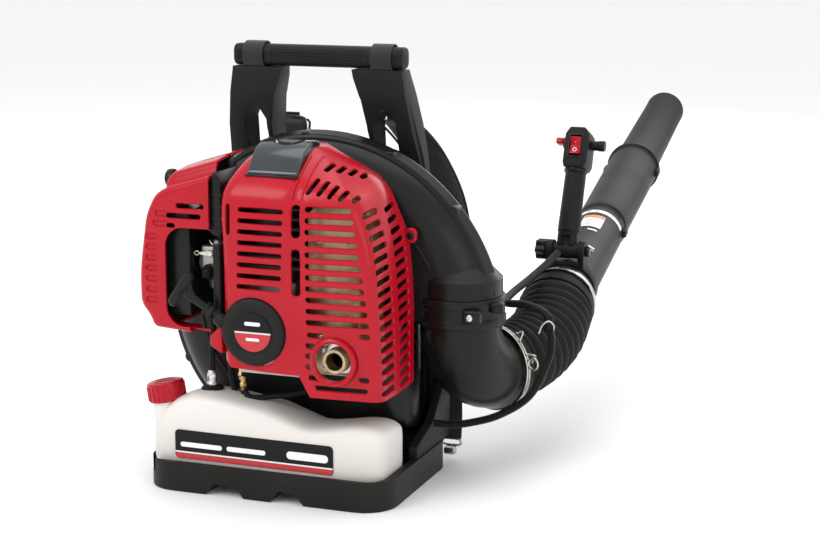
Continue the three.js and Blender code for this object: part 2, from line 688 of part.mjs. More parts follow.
function carburettor() {
  const body = block(-88, -50.5, -72, -38, 240, 280);
  const bowl = rod(at(-70, -55, 228), AXIS_UP, 14, 14, 16);
  const throat = rod(at(-92, -55, 260), AXIS_X, 13, 45, 20);
  const tower = rod(at(-70, -62, 278), AXIS_UP, 6, 9, 12);
  const bulbSeat = rod(at(-76, -73, 250), AXIS_Y, 9.4, 7.5, 16);
  return cut(join(body, bowl, throat, tower), bulbSeat);
}
add("carburettor", carburettor(), aluminium);
add("heat_shield", cut(block(-49, -46, -104, -20, 205, 292),
  rod(at(-60, -55, 260), AXIS_X, 13 + GAP, 30, 20)), blackPlastic);

add("primer_bulb", turned([[0, 0], [9, 0], [9, 3], [7, 9], [0, 12]], at(-76, -72 - GAP, 250),
  at(0, -1, 0), 16), rubber);
add("choke_lever", join(
  rod(at(-74, -72 - GAP, 271), at(0, -1, 0), 4, 4, 12),
  block(-93, -74, -76, -73.5, 269, 273),
), steel);

add("spark_plug", turned(
  [[0, 0], [5, 0], [5, 12], [10, 12.5], [10, 18], [6, 20], [6, 32], [0, 32]],
  at(0, -53, 338),
  AXIS_UP,
  12,
), steel);

// ---- air cleaner --------------------------------------------------------------------------
const caseOutline = (i) => outline([[-95, 200 + i], [-136 + i, 200 + i], [-142 + i, 212 + i],
  [-142 + i, 266], [-134 + i, 298 - i / 2], [-122 + i, 320 - i], [-95, 320 - i]]);
function cleanerCase() {
  const box = alongY(caseOutline(0), -84, -12);
  const room = common(alongY(caseOutline(WALL), -80, -16), block(-160, -106, -84, 0, 190, 330));
  return cut(box, room, block(-160, -130, -76, -20, 214, 258));
}
add("air_cleaner_case", cleanerCase(), blackPlastic);
add("air_filter", common(alongY(caseOutline(WALL + 1), -78, -18),
  block(-160, -108, -84, 0, 190, 330)), filterFoam);

// The red cover wraps the case from the left and has a bay for the carburettor.
function cleanerCover() {
  const front = (i) => alongY(
    outline([[-128, 183 + i], [-64 - i, 183 + i], [-64 - i, 363 - i], [-118, 347 - i],
      [-132 + i, 337 - i], [-142 + i, 318], [-148 + i, 292], [-153 + i, 262],
      [-153 + i, 217], [-143 + i, 205], [-140 + i / 2, 192 + i / 2]]),
    -98 + i,
    i ? 0 : -8,
  );
  const hood = (i) => common(
    alongY(outline([[-128 + i, 320], [-128 + i, 360 - i / 2], [-121 + i, 368 - i], [-104, 372 - i],
      [-76, 379 - i], [-64 - i, 381 - i], [-64 - i, 320]]), -74 + i, i ? 0 : -8),
    alongX(outline([[-74 + i, 310], [10, 310], [10, 385 - i], [-40, 383 - i],
      [-74 + i, 368 - i]]), -170, 0),
  );
  const shell = cut(join(front(0), hood(0)), join(front(WALL), hood(WALL)));
  const bay = alongY(roundedRectangle(-117, -30, 150, 302, 22), -110, 20);
  const slots = [[325, -104, -71], [313, -117, -74], [302, -117, -107]].map(([z, x0, x1]) =>
    block(x0, x1, -105, -90, z, z + 5));
  return cut(shell, bay, ...slots);
}
add("air_cleaner_cover", cleanerCover(), redPlastic);
add("cleaner_knob", turned([[0, 0], [6, 0], [10.5, 3], [10.5, 10], [8, 12], [0, 12]],
  at(-128 - GAP, -46, 350), at(-1, 0, 0), 8), blackPlastic);

// ---- recoil starter -----------------------------------------------------------------------
const STARTER_FRONT = -126;
add("starter_case", turned(
  [[STARTER_RADIUS - 4, 20], [STARTER_RADIUS, 16], [STARTER_RADIUS, 4], [STARTER_RADIUS - 5, 0],
    [0, 0], [0, 3], [STARTER_RADIUS - 7, 3], [STARTER_RADIUS - 4, 7], [STARTER_RADIUS - 4, 20]],
  at(0, STARTER_FRONT, AXIS_Z),
  AXIS_Y,
  24,
), blackPlastic);
add("starter_pulley", sleeve(at(0, -121, AXIS_Z), AXIS_Y, 28, 6, 12, 18), blackPlastic);

// The handle pulls away up and to the left on a cord wound on the pulley.
const ROPE_OUT = at(-0.82, -0.12, 0.56).normalize();
const ROPE_GATE = at(-40, -114, 206);
const alongRope = (distance) => ROPE_GATE.clone().addScaledVector(ROPE_OUT, distance);
function starterGrip() {
  const stem = turned([[0, 0], [6, 0], [5, 20], [6, 42], [0, 42]], alongRope(14), ROPE_OUT, 10);
  const end = alongRope(58);
  const bar = new THREE.CapsuleGeometry(6.5, 34, 3, 10)
    .applyQuaternion(new THREE.Quaternion().setFromUnitVectors(AXIS_Y, at(0.56, 0, 0.83)))
    .translate(end.x, end.y, end.z);
  return join(stem, bar);
}
add("starter_grip", starterGrip(), blackPlastic);
add("starter_rope", rod(ROPE_GATE, ROPE_OUT, 1.8, 13.7, 8), webbing);

// ---- engine cover -------------------------------------------------------------------------
// Plan views of the cover at rising heights, from its left edge round the front fold and the
// middle of its right side to the rear.
function coverLevels(inset) {
  const level = (z, left, front, fold, foldY, middle, middleY, rear) => [
    [left + inset, -10, z], [left + inset, front + 6 + inset, z],
    [left + 12 + inset, front + inset, z], [30, front - 3 + inset, z],
    [fold - inset, foldY + inset, z], [middle - inset, middleY + inset * 0.3, z],
    [rear - inset, -10, z],
  ];
  return [
    level(128 - (inset ? 20 : 0), -44, -117, 148, -113, 150, -60, 147),
    level(220, -44, -119, 145, -115, 148, -60, 147),
    level(300, -44, -120, 134, -116, 141, -54, 139),
    level(346 - inset, -41, -117, 116, -111, 127, -44, 119),
    level(372 - inset, -31, -98, 78, -91, 103, -40, 85),
    level(394 - inset, -12, -67, 49, -63, 59, -34, 43),
  ];
}

function engineCover() {
  const shell = cut(lofted(coverLevels(0)), lofted(coverLevels(WALL)).translate(0, 0.5, 0),
    block(-200, 200, -11, 10, 100, 420));
  const leftSlots = Array.from({ length: 8 }, (_, i) => block(-24, 26, -130, -105,
    234 + i * 13, 239 + i * 13));
  const rightSlots = Array.from({ length: 11 }, (_, i) => block(50, 104, -135, -100,
    208 + i * 12.6, 214 + i * 12.6));
  const exhaustHole = rod(at(EXHAUST_X, -140, EXHAUST_Z), AXIS_Y, 21, 40, 18);
  const starterHole = rod(at(0, -140, AXIS_Z), AXIS_Y, STARTER_RADIUS + GAP, 40, 24);
  const lowerLeft = block(-60, 50, -140, 10, 100, 152);
  const ropeGate = block(-60, -33, -130, -100, 196, 216);
  const capSeat = block(-14, 48, -104, -36, 366, 420);
  return cut(shell, ...leftSlots, ...rightSlots, exhaustHole, starterHole, lowerLeft, ropeGate,
    capSeat);
}
add("engine_cover", engineCover(), redPlastic);

function topCap() {
  return alongX(
    outline([[-103.5, 367], [-40, 367], [-40, 400], [-60, 402], [-82, 394], [-103.5, 371]]),
    -13.5,
    47.5,
  );
}
add("top_cap", cut(topCap(), alongX(outline([[-98, 360], [-44, 360], [-44, 394], [-60, 397],
  [-80, 390], [-98, 371]]), -10, 44)), smokedPlastic);

// ---- fuel system --------------------------------------------------------------------------
const TANK_FRONT = -99;
const TANK_BACK = -8;
function fuelTank() {
  const foot = alongZ(roundedRectangle(-146, 139, TANK_FRONT, TANK_BACK, 24), BASE_FLOOR + GAP, 200);
  const side = alongY(
    outline([[-146, BASE_FLOOR], [139, BASE_FLOOR], [139, 82], [124, 98], [60, 95], [34, 100],
      [2, 112], [-40, 116], [-104, 116], [-108, 96], [-138, 92], [-146, 86]]),
    TANK_FRONT - 1,
    TANK_BACK + 1,
  );
  return common(foot, side);
}
const CAP_AT = at(-131.2, -76, 97);
const CAP_AXIS = at(-0.16, 0, 1).normalize();
const neckBottom = at(-129.5, -76, 86);
const tankNeck = rod(neckBottom, CAP_AXIS, 17, 14, 20);
const capBody = turned([[0, 22], [20, 22], [22, 20], [22, 0], [18, 0], [18, 13], [0, 13], [0, 22]],
  CAP_AT, CAP_AXIS, 18);
add("fuel_tank", cut(join(fuelTank(), tankNeck), rod(at(-126.3, -76, 66), CAP_AXIS, 13, 60, 16),
  rod(at(-82, -60, 108), AXIS_UP, 7, 20, 12)), tankPlastic);
add("fuel_cap", capBody, redPlastic);
add("tank_grommet", turned([[0, 0], [6.7, 0], [6.7, 7], [13, 10.5], [11, 14], [7, 24], [0, 24]],
  at(-82, -60, 111.5), AXIS_UP, 14), rubber);

add("fuel_line", swept([[-82, -60, 136], [-82, -58, 166], [-80, -56, 196], [-73, -55, 225]],
  circle(3.2, 8), 10), rubber);

// ---- control conduit ----------------------------------------------------------------------
// A corrugated sleeve carries the throttle cable and the stop wires from the engine, through
// the clamp's eye and over the hose, to the handle.
const CONDUIT_RADIUS = 5;
const lowerRoute = [[150.5, 43, 65], [170, 48, 64], [191, 55, 66], [223, 70, 75], [255, 84, 98],
  [273, 94, 139], [276, 96, 160], [272, 99, 180]];
const upperRoute = [[271.9, 99.1, 180.5], [270.4, 100.2, 188], [261, 103, 195],
  [240, 109, 199], [212, 122, 197], [208, 160, 200], [214, 212, 208], [222, 262, 219], [227, 290, 227]];
const conduitPart = (route, steps) => swept(route, circle(CONDUIT_RADIUS, 8), steps);
add("conduit_lower", conduitPart(lowerRoute, 14), rubber);
add("conduit_upper", conduitPart(upperRoute, 16), rubber);

export default blower;
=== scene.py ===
# %% [markdown]
# # A backpack leaf blower
# An engine turns a fan inside a scroll housing, and the air leaves through an elbow, a
# bellows hose and three pipes. Everything hangs on a moulded frame with a padded back.
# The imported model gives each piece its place, so this lesson only makes surfaces: smooth
# skins over the faceted solids, small fittings, soft pads and the finish of each material.

import math

import bpy
from mathutils import Matrix, Vector


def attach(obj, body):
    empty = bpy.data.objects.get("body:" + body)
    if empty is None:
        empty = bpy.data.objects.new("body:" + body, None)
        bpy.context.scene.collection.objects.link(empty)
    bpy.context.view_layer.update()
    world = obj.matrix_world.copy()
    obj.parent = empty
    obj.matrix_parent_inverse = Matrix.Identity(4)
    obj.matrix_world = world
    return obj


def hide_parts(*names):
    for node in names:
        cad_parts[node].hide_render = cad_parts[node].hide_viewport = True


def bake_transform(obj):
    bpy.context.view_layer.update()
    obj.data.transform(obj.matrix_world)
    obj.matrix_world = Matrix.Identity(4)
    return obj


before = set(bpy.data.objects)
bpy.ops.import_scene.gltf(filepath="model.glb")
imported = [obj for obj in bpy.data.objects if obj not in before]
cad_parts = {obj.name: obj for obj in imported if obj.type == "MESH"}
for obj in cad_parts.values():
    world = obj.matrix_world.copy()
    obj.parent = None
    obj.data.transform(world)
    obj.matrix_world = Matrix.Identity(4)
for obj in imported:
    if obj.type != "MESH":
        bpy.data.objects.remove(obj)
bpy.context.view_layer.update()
MM = 0.001


def P(x, y, z):
    """A point given in millimetres."""
    return Vector((x * MM, y * MM, z * MM))


X, Y, Z = Vector((1, 0, 0)), Vector((0, 1, 0)), Vector((0, 0, 1))
AXIS_Z = 197  # height of the crankshaft and the fan, in millimetres
PIPE_START = P(232, 290, 167)
PIPE_WAY = Vector((-0.055, 0.9765, 0.208)).normalized()
PIVOT = P(228, 327, 224)  # the handle tilts about this point
LEAN = Vector((0, 0.36, 0.93)).normalized()


def on_pipe(distance):
    """A point on the pipes' axis, in millimetres from the start of the first pipe."""
    return PIPE_START + PIPE_WAY * distance * MM


# %% [markdown]
# ## Camera, light and floor
# A long lens keeps the sides nearly parallel. Two broad lamps and a soft top light give
# the red plastic its wide highlights, and a pale floor fills the shadows from below.

# %% Camera
bpy.ops.object.select_all(action="DESELECT")
bpy.ops.object.camera_add(
    location=P(850.5, -1906.7, 660), rotation=(math.radians(78.5), 0, math.radians(20.5))
)
camera = bpy.context.object
camera.data.sensor_width = 36
camera.data.lens = 81.2
camera.data.clip_end = 50
bpy.context.scene.camera = camera


# %% Lamps and floor
def lamp(name, place, aim, power, size, tint=(1, 1, 1)):
    """An area light that looks at a point."""
    bpy.ops.object.light_add(type="AREA", location=place)
    light = bpy.context.object
    light.name = name
    light.rotation_euler = (Vector(aim) - Vector(place)).to_track_quat("-Z", "Y").to_euler()
    light.data.energy = power
    light.data.size = size
    light.data.color = tint


lamp("lamp_key", (-1.3, -2.2, 2.3), (0, 0, 0.25), 30, 1.5)
lamp("lamp_fill", (2.6, -1.8, 1.2), (0.1, 0.1, 0.2), 12, 1.8)
lamp("lamp_top", (0.2, 0.4, 2.8), (0, 0.1, 0.2), 24, 2.2)
lamp("lamp_back", (0.6, 3.2, 1.6), (0, 0.2, 0.3), 16, 1.8)

bpy.ops.mesh.primitive_plane_add(size=30, location=(0, 0, -0.0004))
floor = bpy.context.object
floor.name = "floor"
world = bpy.data.worlds.new("studio")
world.use_nodes = True
world.node_tree.nodes["Background"].inputs["Color"].default_value = (1, 1, 1, 1)
world.node_tree.nodes["Background"].inputs["Strength"].default_value = 0.98
bpy.context.scene.world = world
bpy.context.scene.view_settings.view_transform = "Standard"


# %% [markdown]
# ## Shader arithmetic
# A material's pattern is easier to read as a formula than as a picture of nodes. `Wire`
# wraps a socket, so that `1 - noise * 0.3` adds the Math nodes by itself, and `Recipe`
# holds one material while it is being built.

# %% Wires and recipes
class Wire:
    """An output socket that can be added, multiplied and compared."""

    def __init__(self, recipe, socket):
        self.recipe = recipe
        self.socket = socket

    def math(self, operation, other=None, swap=False):
        values = [self, other] if other is not None else [self]
        if swap:
            values.reverse()
        inputs = {i: v for i, v in enumerate(values)}
        return self.recipe.node("ShaderNodeMath", {"operation": operation}, inputs)

    def __add__(self, other): return self.math("ADD", other)
    def __radd__(self, other): return self.math("ADD", other)
    def __sub__(self, other): return self.math("SUBTRACT", other)
    def __rsub__(self, other): return self.math("SUBTRACT", other, swap=True)
    def __mul__(self, other): return self.math("MULTIPLY", other)
    def __rmul__(self, other): return self.math("MULTIPLY", other)
    def __truediv__(self, other): return self.math("DIVIDE", other)
    def __gt__(self, other): return self.math("GREATER_THAN", other)
    def __lt__(self, other): return self.math("LESS_THAN", other)
    def __pow__(self, other): return self.math("POWER", other)
    def fract(self): return self.math("FRACT")
    def sine(self): return self.math("SINE")
    def size(self): return self.math("ABSOLUTE")


class Recipe:
    """One procedural material."""

    def __init__(self, name, rough=0.5, metal=0.0, coat=0.0, **constants):
        self.material = bpy.data.materials.new(name)
        self.material.use_nodes = True
        self.tree = self.material.node_tree
        self.shader = self.tree.nodes["Principled BSDF"]
        self.shader.inputs["Roughness"].default_value = rough
        self.shader.inputs["Metallic"].default_value = metal
        self.shader.inputs["Coat Weight"].default_value = coat
        for socket, value in constants.items():
            self.shader.inputs[socket.replace("_", " ")].default_value = value

    def node(self, kind, settings=None, inputs=None, output=0):
        made = self.tree.nodes.new(kind)
        for key, value in (settings or {}).items():
            if key == "stops":
                self.set_stops(made.color_ramp, value)
            else:
                setattr(made, key, value)
        for key, value in (inputs or {}).items():
            self.plug(made.inputs[key], value)
        return Wire(self, made.outputs[output])

    def set_stops(self, ramp, stops):
        while len(ramp.elements) < len(stops):
            ramp.elements.new(0.5)
        for element, (place, colour) in zip(ramp.elements, stops):
            element.position = place
            element.color = (*colour, 1)

    def plug(self, socket, value):
        if isinstance(value, Wire):
            self.tree.links.new(value.socket, socket)
        elif isinstance(value, tuple) and len(value) == 3 and len(socket.default_value) == 4:
            socket.default_value = (*value, 1)
        else:
            socket.default_value = value

    def place(self, kind="Object"):
        """Object coordinates, or the piece's own UV map."""
        return self.node("ShaderNodeTexCoord", output=kind)

    def part(self, axis, kind="Object"):
        return self.node("ShaderNodeSeparateXYZ", None, {0: self.place(kind)}, output=axis)

    def noise(self, scale, detail=3, rough=0.5, stretch=None, kind="Object"):
        where = self.place(kind)
        if stretch:
            where = self.node("ShaderNodeMapping", None, {"Vector": where, "Scale": stretch})
        return self.node(
            "ShaderNodeTexNoise", None,
            {"Vector": where, "Scale": scale, "Detail": detail, "Roughness": rough},
        )

    def ramp(self, value, *stops):
        return self.node("ShaderNodeValToRGB", {"stops": stops}, {0: value})

    def mix(self, factor, first, second):
        made = self.tree.nodes.new("ShaderNodeMix")
        made.data_type = "RGBA"
        self.plug(made.inputs["Factor"], factor)
        self.plug(made.inputs[6], first)
        self.plug(made.inputs[7], second)
        return Wire(self, made.outputs[2])

    def colour(self, value):
        self.plug(self.shader.inputs["Base Color"], value)

    def rough(self, value):
        self.plug(self.shader.inputs["Roughness"], value)

    def bump(self, height, strength, depth=0.001):
        made = self.node(
            "ShaderNodeBump", None,
            {"Height": height, "Strength": strength, "Distance": depth}, output="Normal",
        )
        self.plug(self.shader.inputs["Normal"], made)


# %% [markdown]
# ## Plastics
# The machine is nearly all injection moulded. A fine spark-eroded grain breaks up the
# charcoal parts, the black parts are smoother, and the red covers are polished with a
# faint orange peel. Handling leaves dull patches, so roughness varies slowly everywhere.

# %% Moulded plastics
def moulded(name, dark, light, rough, grain, grain_depth, coat=0.0, shine=0.5):
    """Moulded plastic: slow tone changes, fine grain and a little handling wear."""
    made = Recipe(name, rough=rough, coat=coat, Coat_Roughness=0.12, Specular_IOR_Level=shine)
    tone = made.noise(9, 4)
    made.colour(made.ramp(tone, (0.3, dark), (0.72, light)))
    fine = made.noise(grain, 2, 0.6)
    made.rough(rough - 0.06 + made.noise(22, 5, 0.62) * 0.13)
    made.bump(fine, grain_depth, 0.0004)
    return made.material


charcoal = moulded("charcoal plastic", (0.008, 0.0085, 0.0075), (0.013, 0.014, 0.012), 0.46, 2600, 0.35,
                   shine=0.17)
black = moulded("black plastic", (0.0045, 0.0048, 0.005), (0.0085, 0.009, 0.009), 0.30, 1800, 0.10,
                shine=0.24)
dark_gloss = moulded("smoked plastic", (0.008, 0.013, 0.016), (0.013, 0.019, 0.024), 0.14, 700, 0.04, 0.5)
red = moulded("red plastic", (0.38, 0.001, 0.010), (0.45, 0.003, 0.015), 0.26, 420, 0.045, 0.14, 0.22)
print("plastics:", charcoal.name, black.name, dark_gloss.name, red.name)


# %% Other finishes
def rubbery(name, tone, rough):
    """Rubber: nearly black, with a dusty bloom in patches."""
    made = Recipe(name, rough=rough, Specular_IOR_Level=0.16)
    dust = made.noise(30, 5, 0.65)
    made.colour(made.ramp(dust, (0.35, (tone, tone, tone)), (0.8, (tone * 2.1, tone * 2.1, tone * 2.0))))
    made.rough(rough - 0.08 + made.noise(60, 4) * 0.2)
    made.bump(made.noise(900, 2), 0.12, 0.0003)
    return made.material


rubber = rubbery("rubber", 0.006, 0.55)
corrugated = rubbery("conduit plastic", 0.009, 0.42)


def metal(name, dark, light, rough, grain, stretch=None):
    """Bare metal: fine cast or drawn grain and slow staining."""
    made = Recipe(name, rough=rough, metal=1.0)
    stain = made.noise(26, 5, 0.6)
    made.colour(made.ramp(stain, (0.3, dark), (0.75, light)))
    made.rough(rough - 0.08 + made.noise(80, 4) * 0.2)
    made.bump(made.noise(grain, 3, 0.6, stretch), 0.25, 0.0003)
    return made.material


cast = metal("cast aluminium", (0.33, 0.32, 0.30), (0.55, 0.54, 0.51), 0.42, 1200)
zinc = metal("zinc plated steel", (0.50, 0.48, 0.43), (0.72, 0.70, 0.65), 0.24, 700)
tinted = metal("heat tinted steel", (0.30, 0.22, 0.12), (0.60, 0.49, 0.31), 0.38, 500)
brass = metal("brass", (0.50, 0.33, 0.12), (0.70, 0.52, 0.24), 0.30, 900)

# The tank's wall lets light in, so it scatters under the surface. Its colour is darker towards the bottom
# and lighter towards the top.
milky = Recipe("milky polyethylene", rough=0.42, Subsurface_Weight=0.25, Subsurface_Scale=0.012)
milky.shader.inputs["Subsurface Radius"].default_value = (1.0, 0.9, 0.8)
height = milky.part(2)
# The tank's colour is darker towards the bottom and lighter towards the top.
tank_height_tone = milky.ramp(height * 8.0 + milky.noise(14, 2) * 0.03,
                   (0.30, (0.62, 0.58, 0.54)), (0.62, (0.72, 0.69, 0.655)), (0.95, (0.76, 0.74, 0.71)))
milky.colour(tank_height_tone)
milky.rough(0.34 + milky.noise(40, 4) * 0.14)
milky.bump(milky.noise(260, 3), 0.08, 0.0004)
milky = milky.material


def woven(name, tone, threads, depth):
    """Plain weave that follows the piece's own UV map, in metres."""
    made = Recipe(name, rough=0.88, Sheen_Weight=0.22, Sheen_Roughness=0.5)
    u = made.part(0, "UV") * threads
    v = made.part(1, "UV") * threads
    over = ((u + v).fract() - 0.5).size() * 2
    under = ((u - v).fract() - 0.5).size() * 2
    thread = over * under
    light = tuple(t * 2.4 for t in tone)
    made.colour(made.mix(thread + made.noise(40, 3) * 0.25, tone, light))
    made.bump(thread, depth, 0.0005)
    return made.material


cloth = woven("pad cloth", (0.0085, 0.0088, 0.0095), 420, 0.5)
webbing = woven("webbing", (0.0068, 0.0070, 0.0074), 300, 0.75)
foam = Recipe("filter foam", rough=0.95)
foam.colour(foam.ramp(foam.noise(500, 2), (0.3, (0.02, 0.02, 0.018)), (0.7, (0.10, 0.10, 0.09))))
foam = foam.material

ground = Recipe("pale floor", rough=0.75)
ground.colour((0.93, 0.93, 0.93))
ground.bump(ground.noise(60, 3), 0.02, 0.001)
floor.data.materials.append(ground.material)

# %% [markdown]
# ## Tools for modelling
# Blender's own operators do the work: a profile is drawn by extruding a single vertex and
# then spun, boxes are bevelled, and tubes are curves turned into meshes. A few bodies of
# changing section start as a flat grid that is rolled up by a formula.

# %% Selecting and applying
def clear():
    """Leaves edit mode and deselects everything."""
    active = bpy.context.view_layer.objects.active
    if active and active.mode != "OBJECT":
        bpy.ops.object.mode_set(mode="OBJECT")
    bpy.ops.object.select_all(action="DESELECT")


def only(*pieces):
    """Selects these pieces and makes the first one active."""
    clear()
    for piece in pieces:
        piece.select_set(True)
    bpy.context.view_layer.objects.active = pieces[0]


def modify(piece, kind, **settings):
    """Adds one modifier and applies it."""
    only(piece)
    bpy.ops.object.modifier_add(type=kind)
    added = piece.modifiers[-1]
    for key, value in settings.items():
        setattr(added, key, value)
    bpy.ops.object.modifier_apply(modifier=added.name)
    return piece


def weld(piece, gap=0.00003):
    """Merges doubled vertices and turns every face outwards."""
    only(piece)
    bpy.ops.object.mode_set(mode="EDIT")
    bpy.ops.mesh.select_all(action="SELECT")
    bpy.ops.mesh.remove_doubles(threshold=gap)
    bpy.ops.mesh.normals_make_consistent(inside=False)
    bpy.ops.object.mode_set(mode="OBJECT")
    return piece


def joined(name, *pieces):
    """Several shapes as one piece."""
    only(*pieces)
    if len(pieces) > 1:
        bpy.ops.object.join()
    whole = bpy.context.object
    whole.name = name
    return whole


def done(piece, material, body="blower_frame", nodes=(), angle=35, smooth=True):
    """Shades, paints and attaches a finished piece to one body; given two bodies, it only fixes its
    transform in place.
    """
    only(piece)
    bpy.ops.object.transform_apply(location=True, rotation=True, scale=True)
    if smooth:
        bpy.ops.object.shade_smooth_by_angle(angle=math.radians(angle))
    piece.data.materials.clear()
    piece.data.materials.append(material)
    if isinstance(body, tuple):
        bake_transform(piece)
    else:
        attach(piece, body)
    if nodes:
        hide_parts(*nodes)
    return piece


# %% Drawn profiles, boxes, tubes and rolled grids
def drawn(name, points):
    """A chain of edges through points, drawn by extruding one vertex."""
    clear()
    bpy.ops.mesh.primitive_plane_add(size=0.001)
    piece = bpy.context.object
    piece.name = name
    bpy.ops.object.mode_set(mode="EDIT")
    bpy.ops.mesh.select_mode(type="VERT")
    bpy.ops.mesh.select_all(action="SELECT")
    bpy.ops.mesh.merge(type="CENTER")
    bpy.ops.transform.translate(value=points[0])
    for here, there in zip(points, points[1:]):
        step = tuple(Vector(there) - Vector(here))
        bpy.ops.mesh.extrude_vertices_move(TRANSFORM_OT_translate={"value": step})
    return piece


def turned(name, profile, origin, way, steps=48, bevel=0.0):
    """Spins a profile of (radius, height) points, in millimetres, about an axis."""
    piece = drawn(name, [P(r, 0, h) for r, h in profile])
    bpy.ops.mesh.select_all(action="SELECT")
    bpy.ops.mesh.spin(steps=steps, angle=2 * math.pi, center=(0, 0, 0), axis=(0, 0, 1))
    weld(piece, 0.00001)
    if bevel:
        modify(piece, "BEVEL", width=bevel * MM, segments=2, limit_method="ANGLE",
               angle_limit=math.radians(32))
    only(piece)
    turn = Vector((0, 0, 1)).rotation_difference(Vector(way).normalized()).to_matrix().to_4x4()
    piece.matrix_world = Matrix.Translation(origin) @ turn
    bpy.ops.object.transform_apply(location=True, rotation=True, scale=True)
    return piece


def prism(name, outline, axis, low, high, bevel=0.0, segments=3):
    """A closed outline, in millimetres, extruded along X, Y or Z from low to high."""
    def spot(a, b, c):
        return {"X": P(c, a, b), "Y": P(a, c, b), "Z": P(a, b, c)}[axis]
    piece = drawn(name, [spot(a, b, low) for a, b in outline])
    bpy.ops.mesh.select_all(action="SELECT")
    bpy.ops.mesh.edge_face_add()
    step = tuple(spot(0, 0, high) - spot(0, 0, low))
    bpy.ops.mesh.extrude_region_move(TRANSFORM_OT_translate={"value": step})
    weld(piece, 0.00001)
    if bevel:
        modify(piece, "BEVEL", width=bevel * MM, segments=segments, limit_method="ANGLE",
               angle_limit=math.radians(32))
    return piece


def rounded(a0, a1, b0, b1, radius, corner=6):
    """The outline of a rectangle with round corners."""
    centres = [(a1 - radius, b0 + radius, -90), (a1 - radius, b1 - radius, 0),
               (a0 + radius, b1 - radius, 90), (a0 + radius, b0 + radius, 180)]
    points = []
    for a, b, start in centres:
        for i in range(corner + 1):
            turn = math.radians(start + 90 * i / corner)
            points.append((a + radius * math.cos(turn), b + radius * math.sin(turn)))
    return points


def box(name, x0, x1, y0, y1, z0, z1, bevel=1.0, segments=2):
    """A box with bevelled edges, in millimetres."""
    clear()
    bpy.ops.mesh.primitive_cube_add(size=1, location=P((x0 + x1) / 2, (y0 + y1) / 2, (z0 + z1) / 2))
    piece = bpy.context.object
    piece.name = name
    piece.scale = P(x1 - x0, y1 - y0, z1 - z0)
    bpy.ops.object.transform_apply(location=True, rotation=True, scale=True)
    bpy.ops.object.mode_set(mode="EDIT")
    bpy.ops.mesh.bevel(offset=bevel * MM, segments=segments)
    bpy.ops.object.mode_set(mode="OBJECT")
    return piece


def smooth_path(points, count):
    """Points, in millimetres, joined by a smooth curve and spaced evenly along it."""
    raw = [P(*p) for p in points]
    ends = [raw[0] * 2 - raw[1], *raw, raw[-1] * 2 - raw[-2]]
    fine = []
    for a, b, c, d in zip(ends, ends[1:], ends[2:], ends[3:]):
        for i in range(24):
            t = i / 24
            fine.append(0.5 * (2 * b + (c - a) * t + (2 * a - 5 * b + 4 * c - d) * t * t
                               + (3 * b - 3 * c + d - a) * t ** 3))
    fine.append(raw[-1])
    reach = [0.0]
    for here, there in zip(fine, fine[1:]):
        reach.append(reach[-1] + (there - here).length)
    even = []
    k = 0
    for i in range(count):
        goal = reach[-1] * i / (count - 1)
        while k < len(fine) - 2 and reach[k + 1] < goal:
            k += 1
        share = (goal - reach[k]) / max(reach[k + 1] - reach[k], 1e-12)
        even.append(fine[k].lerp(fine[k + 1], min(max(share, 0), 1)))
    return even


def tube(name, path, radius, sides=5, closed=False, radii=None, caps=True):
    """A round tube along points in metres; radii scales it from point to point."""
    clear()
    bpy.ops.curve.primitive_nurbs_path_add()
    curve = bpy.context.object
    curve.name = name
    line = curve.data
    line.splines.clear()
    spline = line.splines.new("POLY")
    spline.points.add(len(path) - 1)
    for i, point in enumerate(path):
        spline.points[i].co = (*point, 1)
        spline.points[i].radius = radii[i] if radii else 1
    spline.use_cyclic_u = closed
    line.dimensions = "3D"
    line.bevel_depth = radius * MM
    line.bevel_resolution = sides
    line.use_fill_caps = caps and not closed
    bpy.ops.object.convert(target="MESH")
    return weld(bpy.context.object, 0.000005)


def rolled(name, place, across, along):
    """A flat grid whose points are moved by a formula of two shares from 0 to 1."""
    clear()
    bpy.ops.mesh.primitive_grid_add(x_subdivisions=across, y_subdivisions=along, size=1)
    piece = bpy.context.object
    piece.name = name
    for vertex in piece.data.vertices:
        vertex.co = place(vertex.co.x + 0.5, vertex.co.y + 0.5)
    return weld(piece, 0.00001)


def carve(piece, *cutters, operation="DIFFERENCE", quick=False, solver="EXACT"):
    """Cuts shapes out of a piece and removes them; quick is for cutters that stay apart."""
    for cutter in cutters:
        only(cutter)
        bpy.ops.object.transform_apply(location=True, rotation=True, scale=True)
    cutter = joined("cutter", *cutters)
    modify(piece, "BOOLEAN", object=cutter, operation=operation, solver=solver,
           use_self=len(cutters) > 1 and not quick)
    bpy.data.objects.remove(cutter)
    return piece


def softened(name, node, radius, segments=2, angle=30):
    """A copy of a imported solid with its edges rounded."""
    only(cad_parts[node])
    bpy.ops.object.duplicate()
    piece = bpy.context.object
    piece.name = name
    for key in list(piece.keys()):
        del piece[key]
    piece.hide_render = False
    bpy.ops.object.mode_set(mode="EDIT")
    bpy.ops.mesh.select_all(action="SELECT")
    bpy.ops.mesh.remove_doubles(threshold=0.00002)
    bpy.ops.mesh.dissolve_limited(angle_limit=math.radians(1))
    bpy.ops.object.mode_set(mode="OBJECT")
    modify(piece, "BEVEL", width=radius * MM, segments=segments, limit_method="ANGLE",
           angle_limit=math.radians(angle))
    return piece


def screw(name, place, way, radius=4.0, material=None, body="blower_frame"):
    """A pan head with a cross recess."""
    head = turned(name, [(0, 0), (radius, 0), (radius, 1.2), (radius * 0.8, 2.4), (0, 2.8)],
                  place, way, 20, 0.3)
    way = Vector(way).normalized()
    turn = Vector((0, 0, 1)).rotation_difference(way).to_matrix().to_4x4()
    bars = []
    for wide, deep in ((radius * 1.1, 1.1), (1.1, radius * 1.1)):
        bar = box("recess", -wide / 2, wide / 2, -deep / 2, deep / 2, 1.4, 4.0, 0.1, 1)
        bar.matrix_world = Matrix.Translation(place) @ turn
        bars.append(bar)
    carve(head, *bars)
    return done(head, material or zinc, body, angle=30)


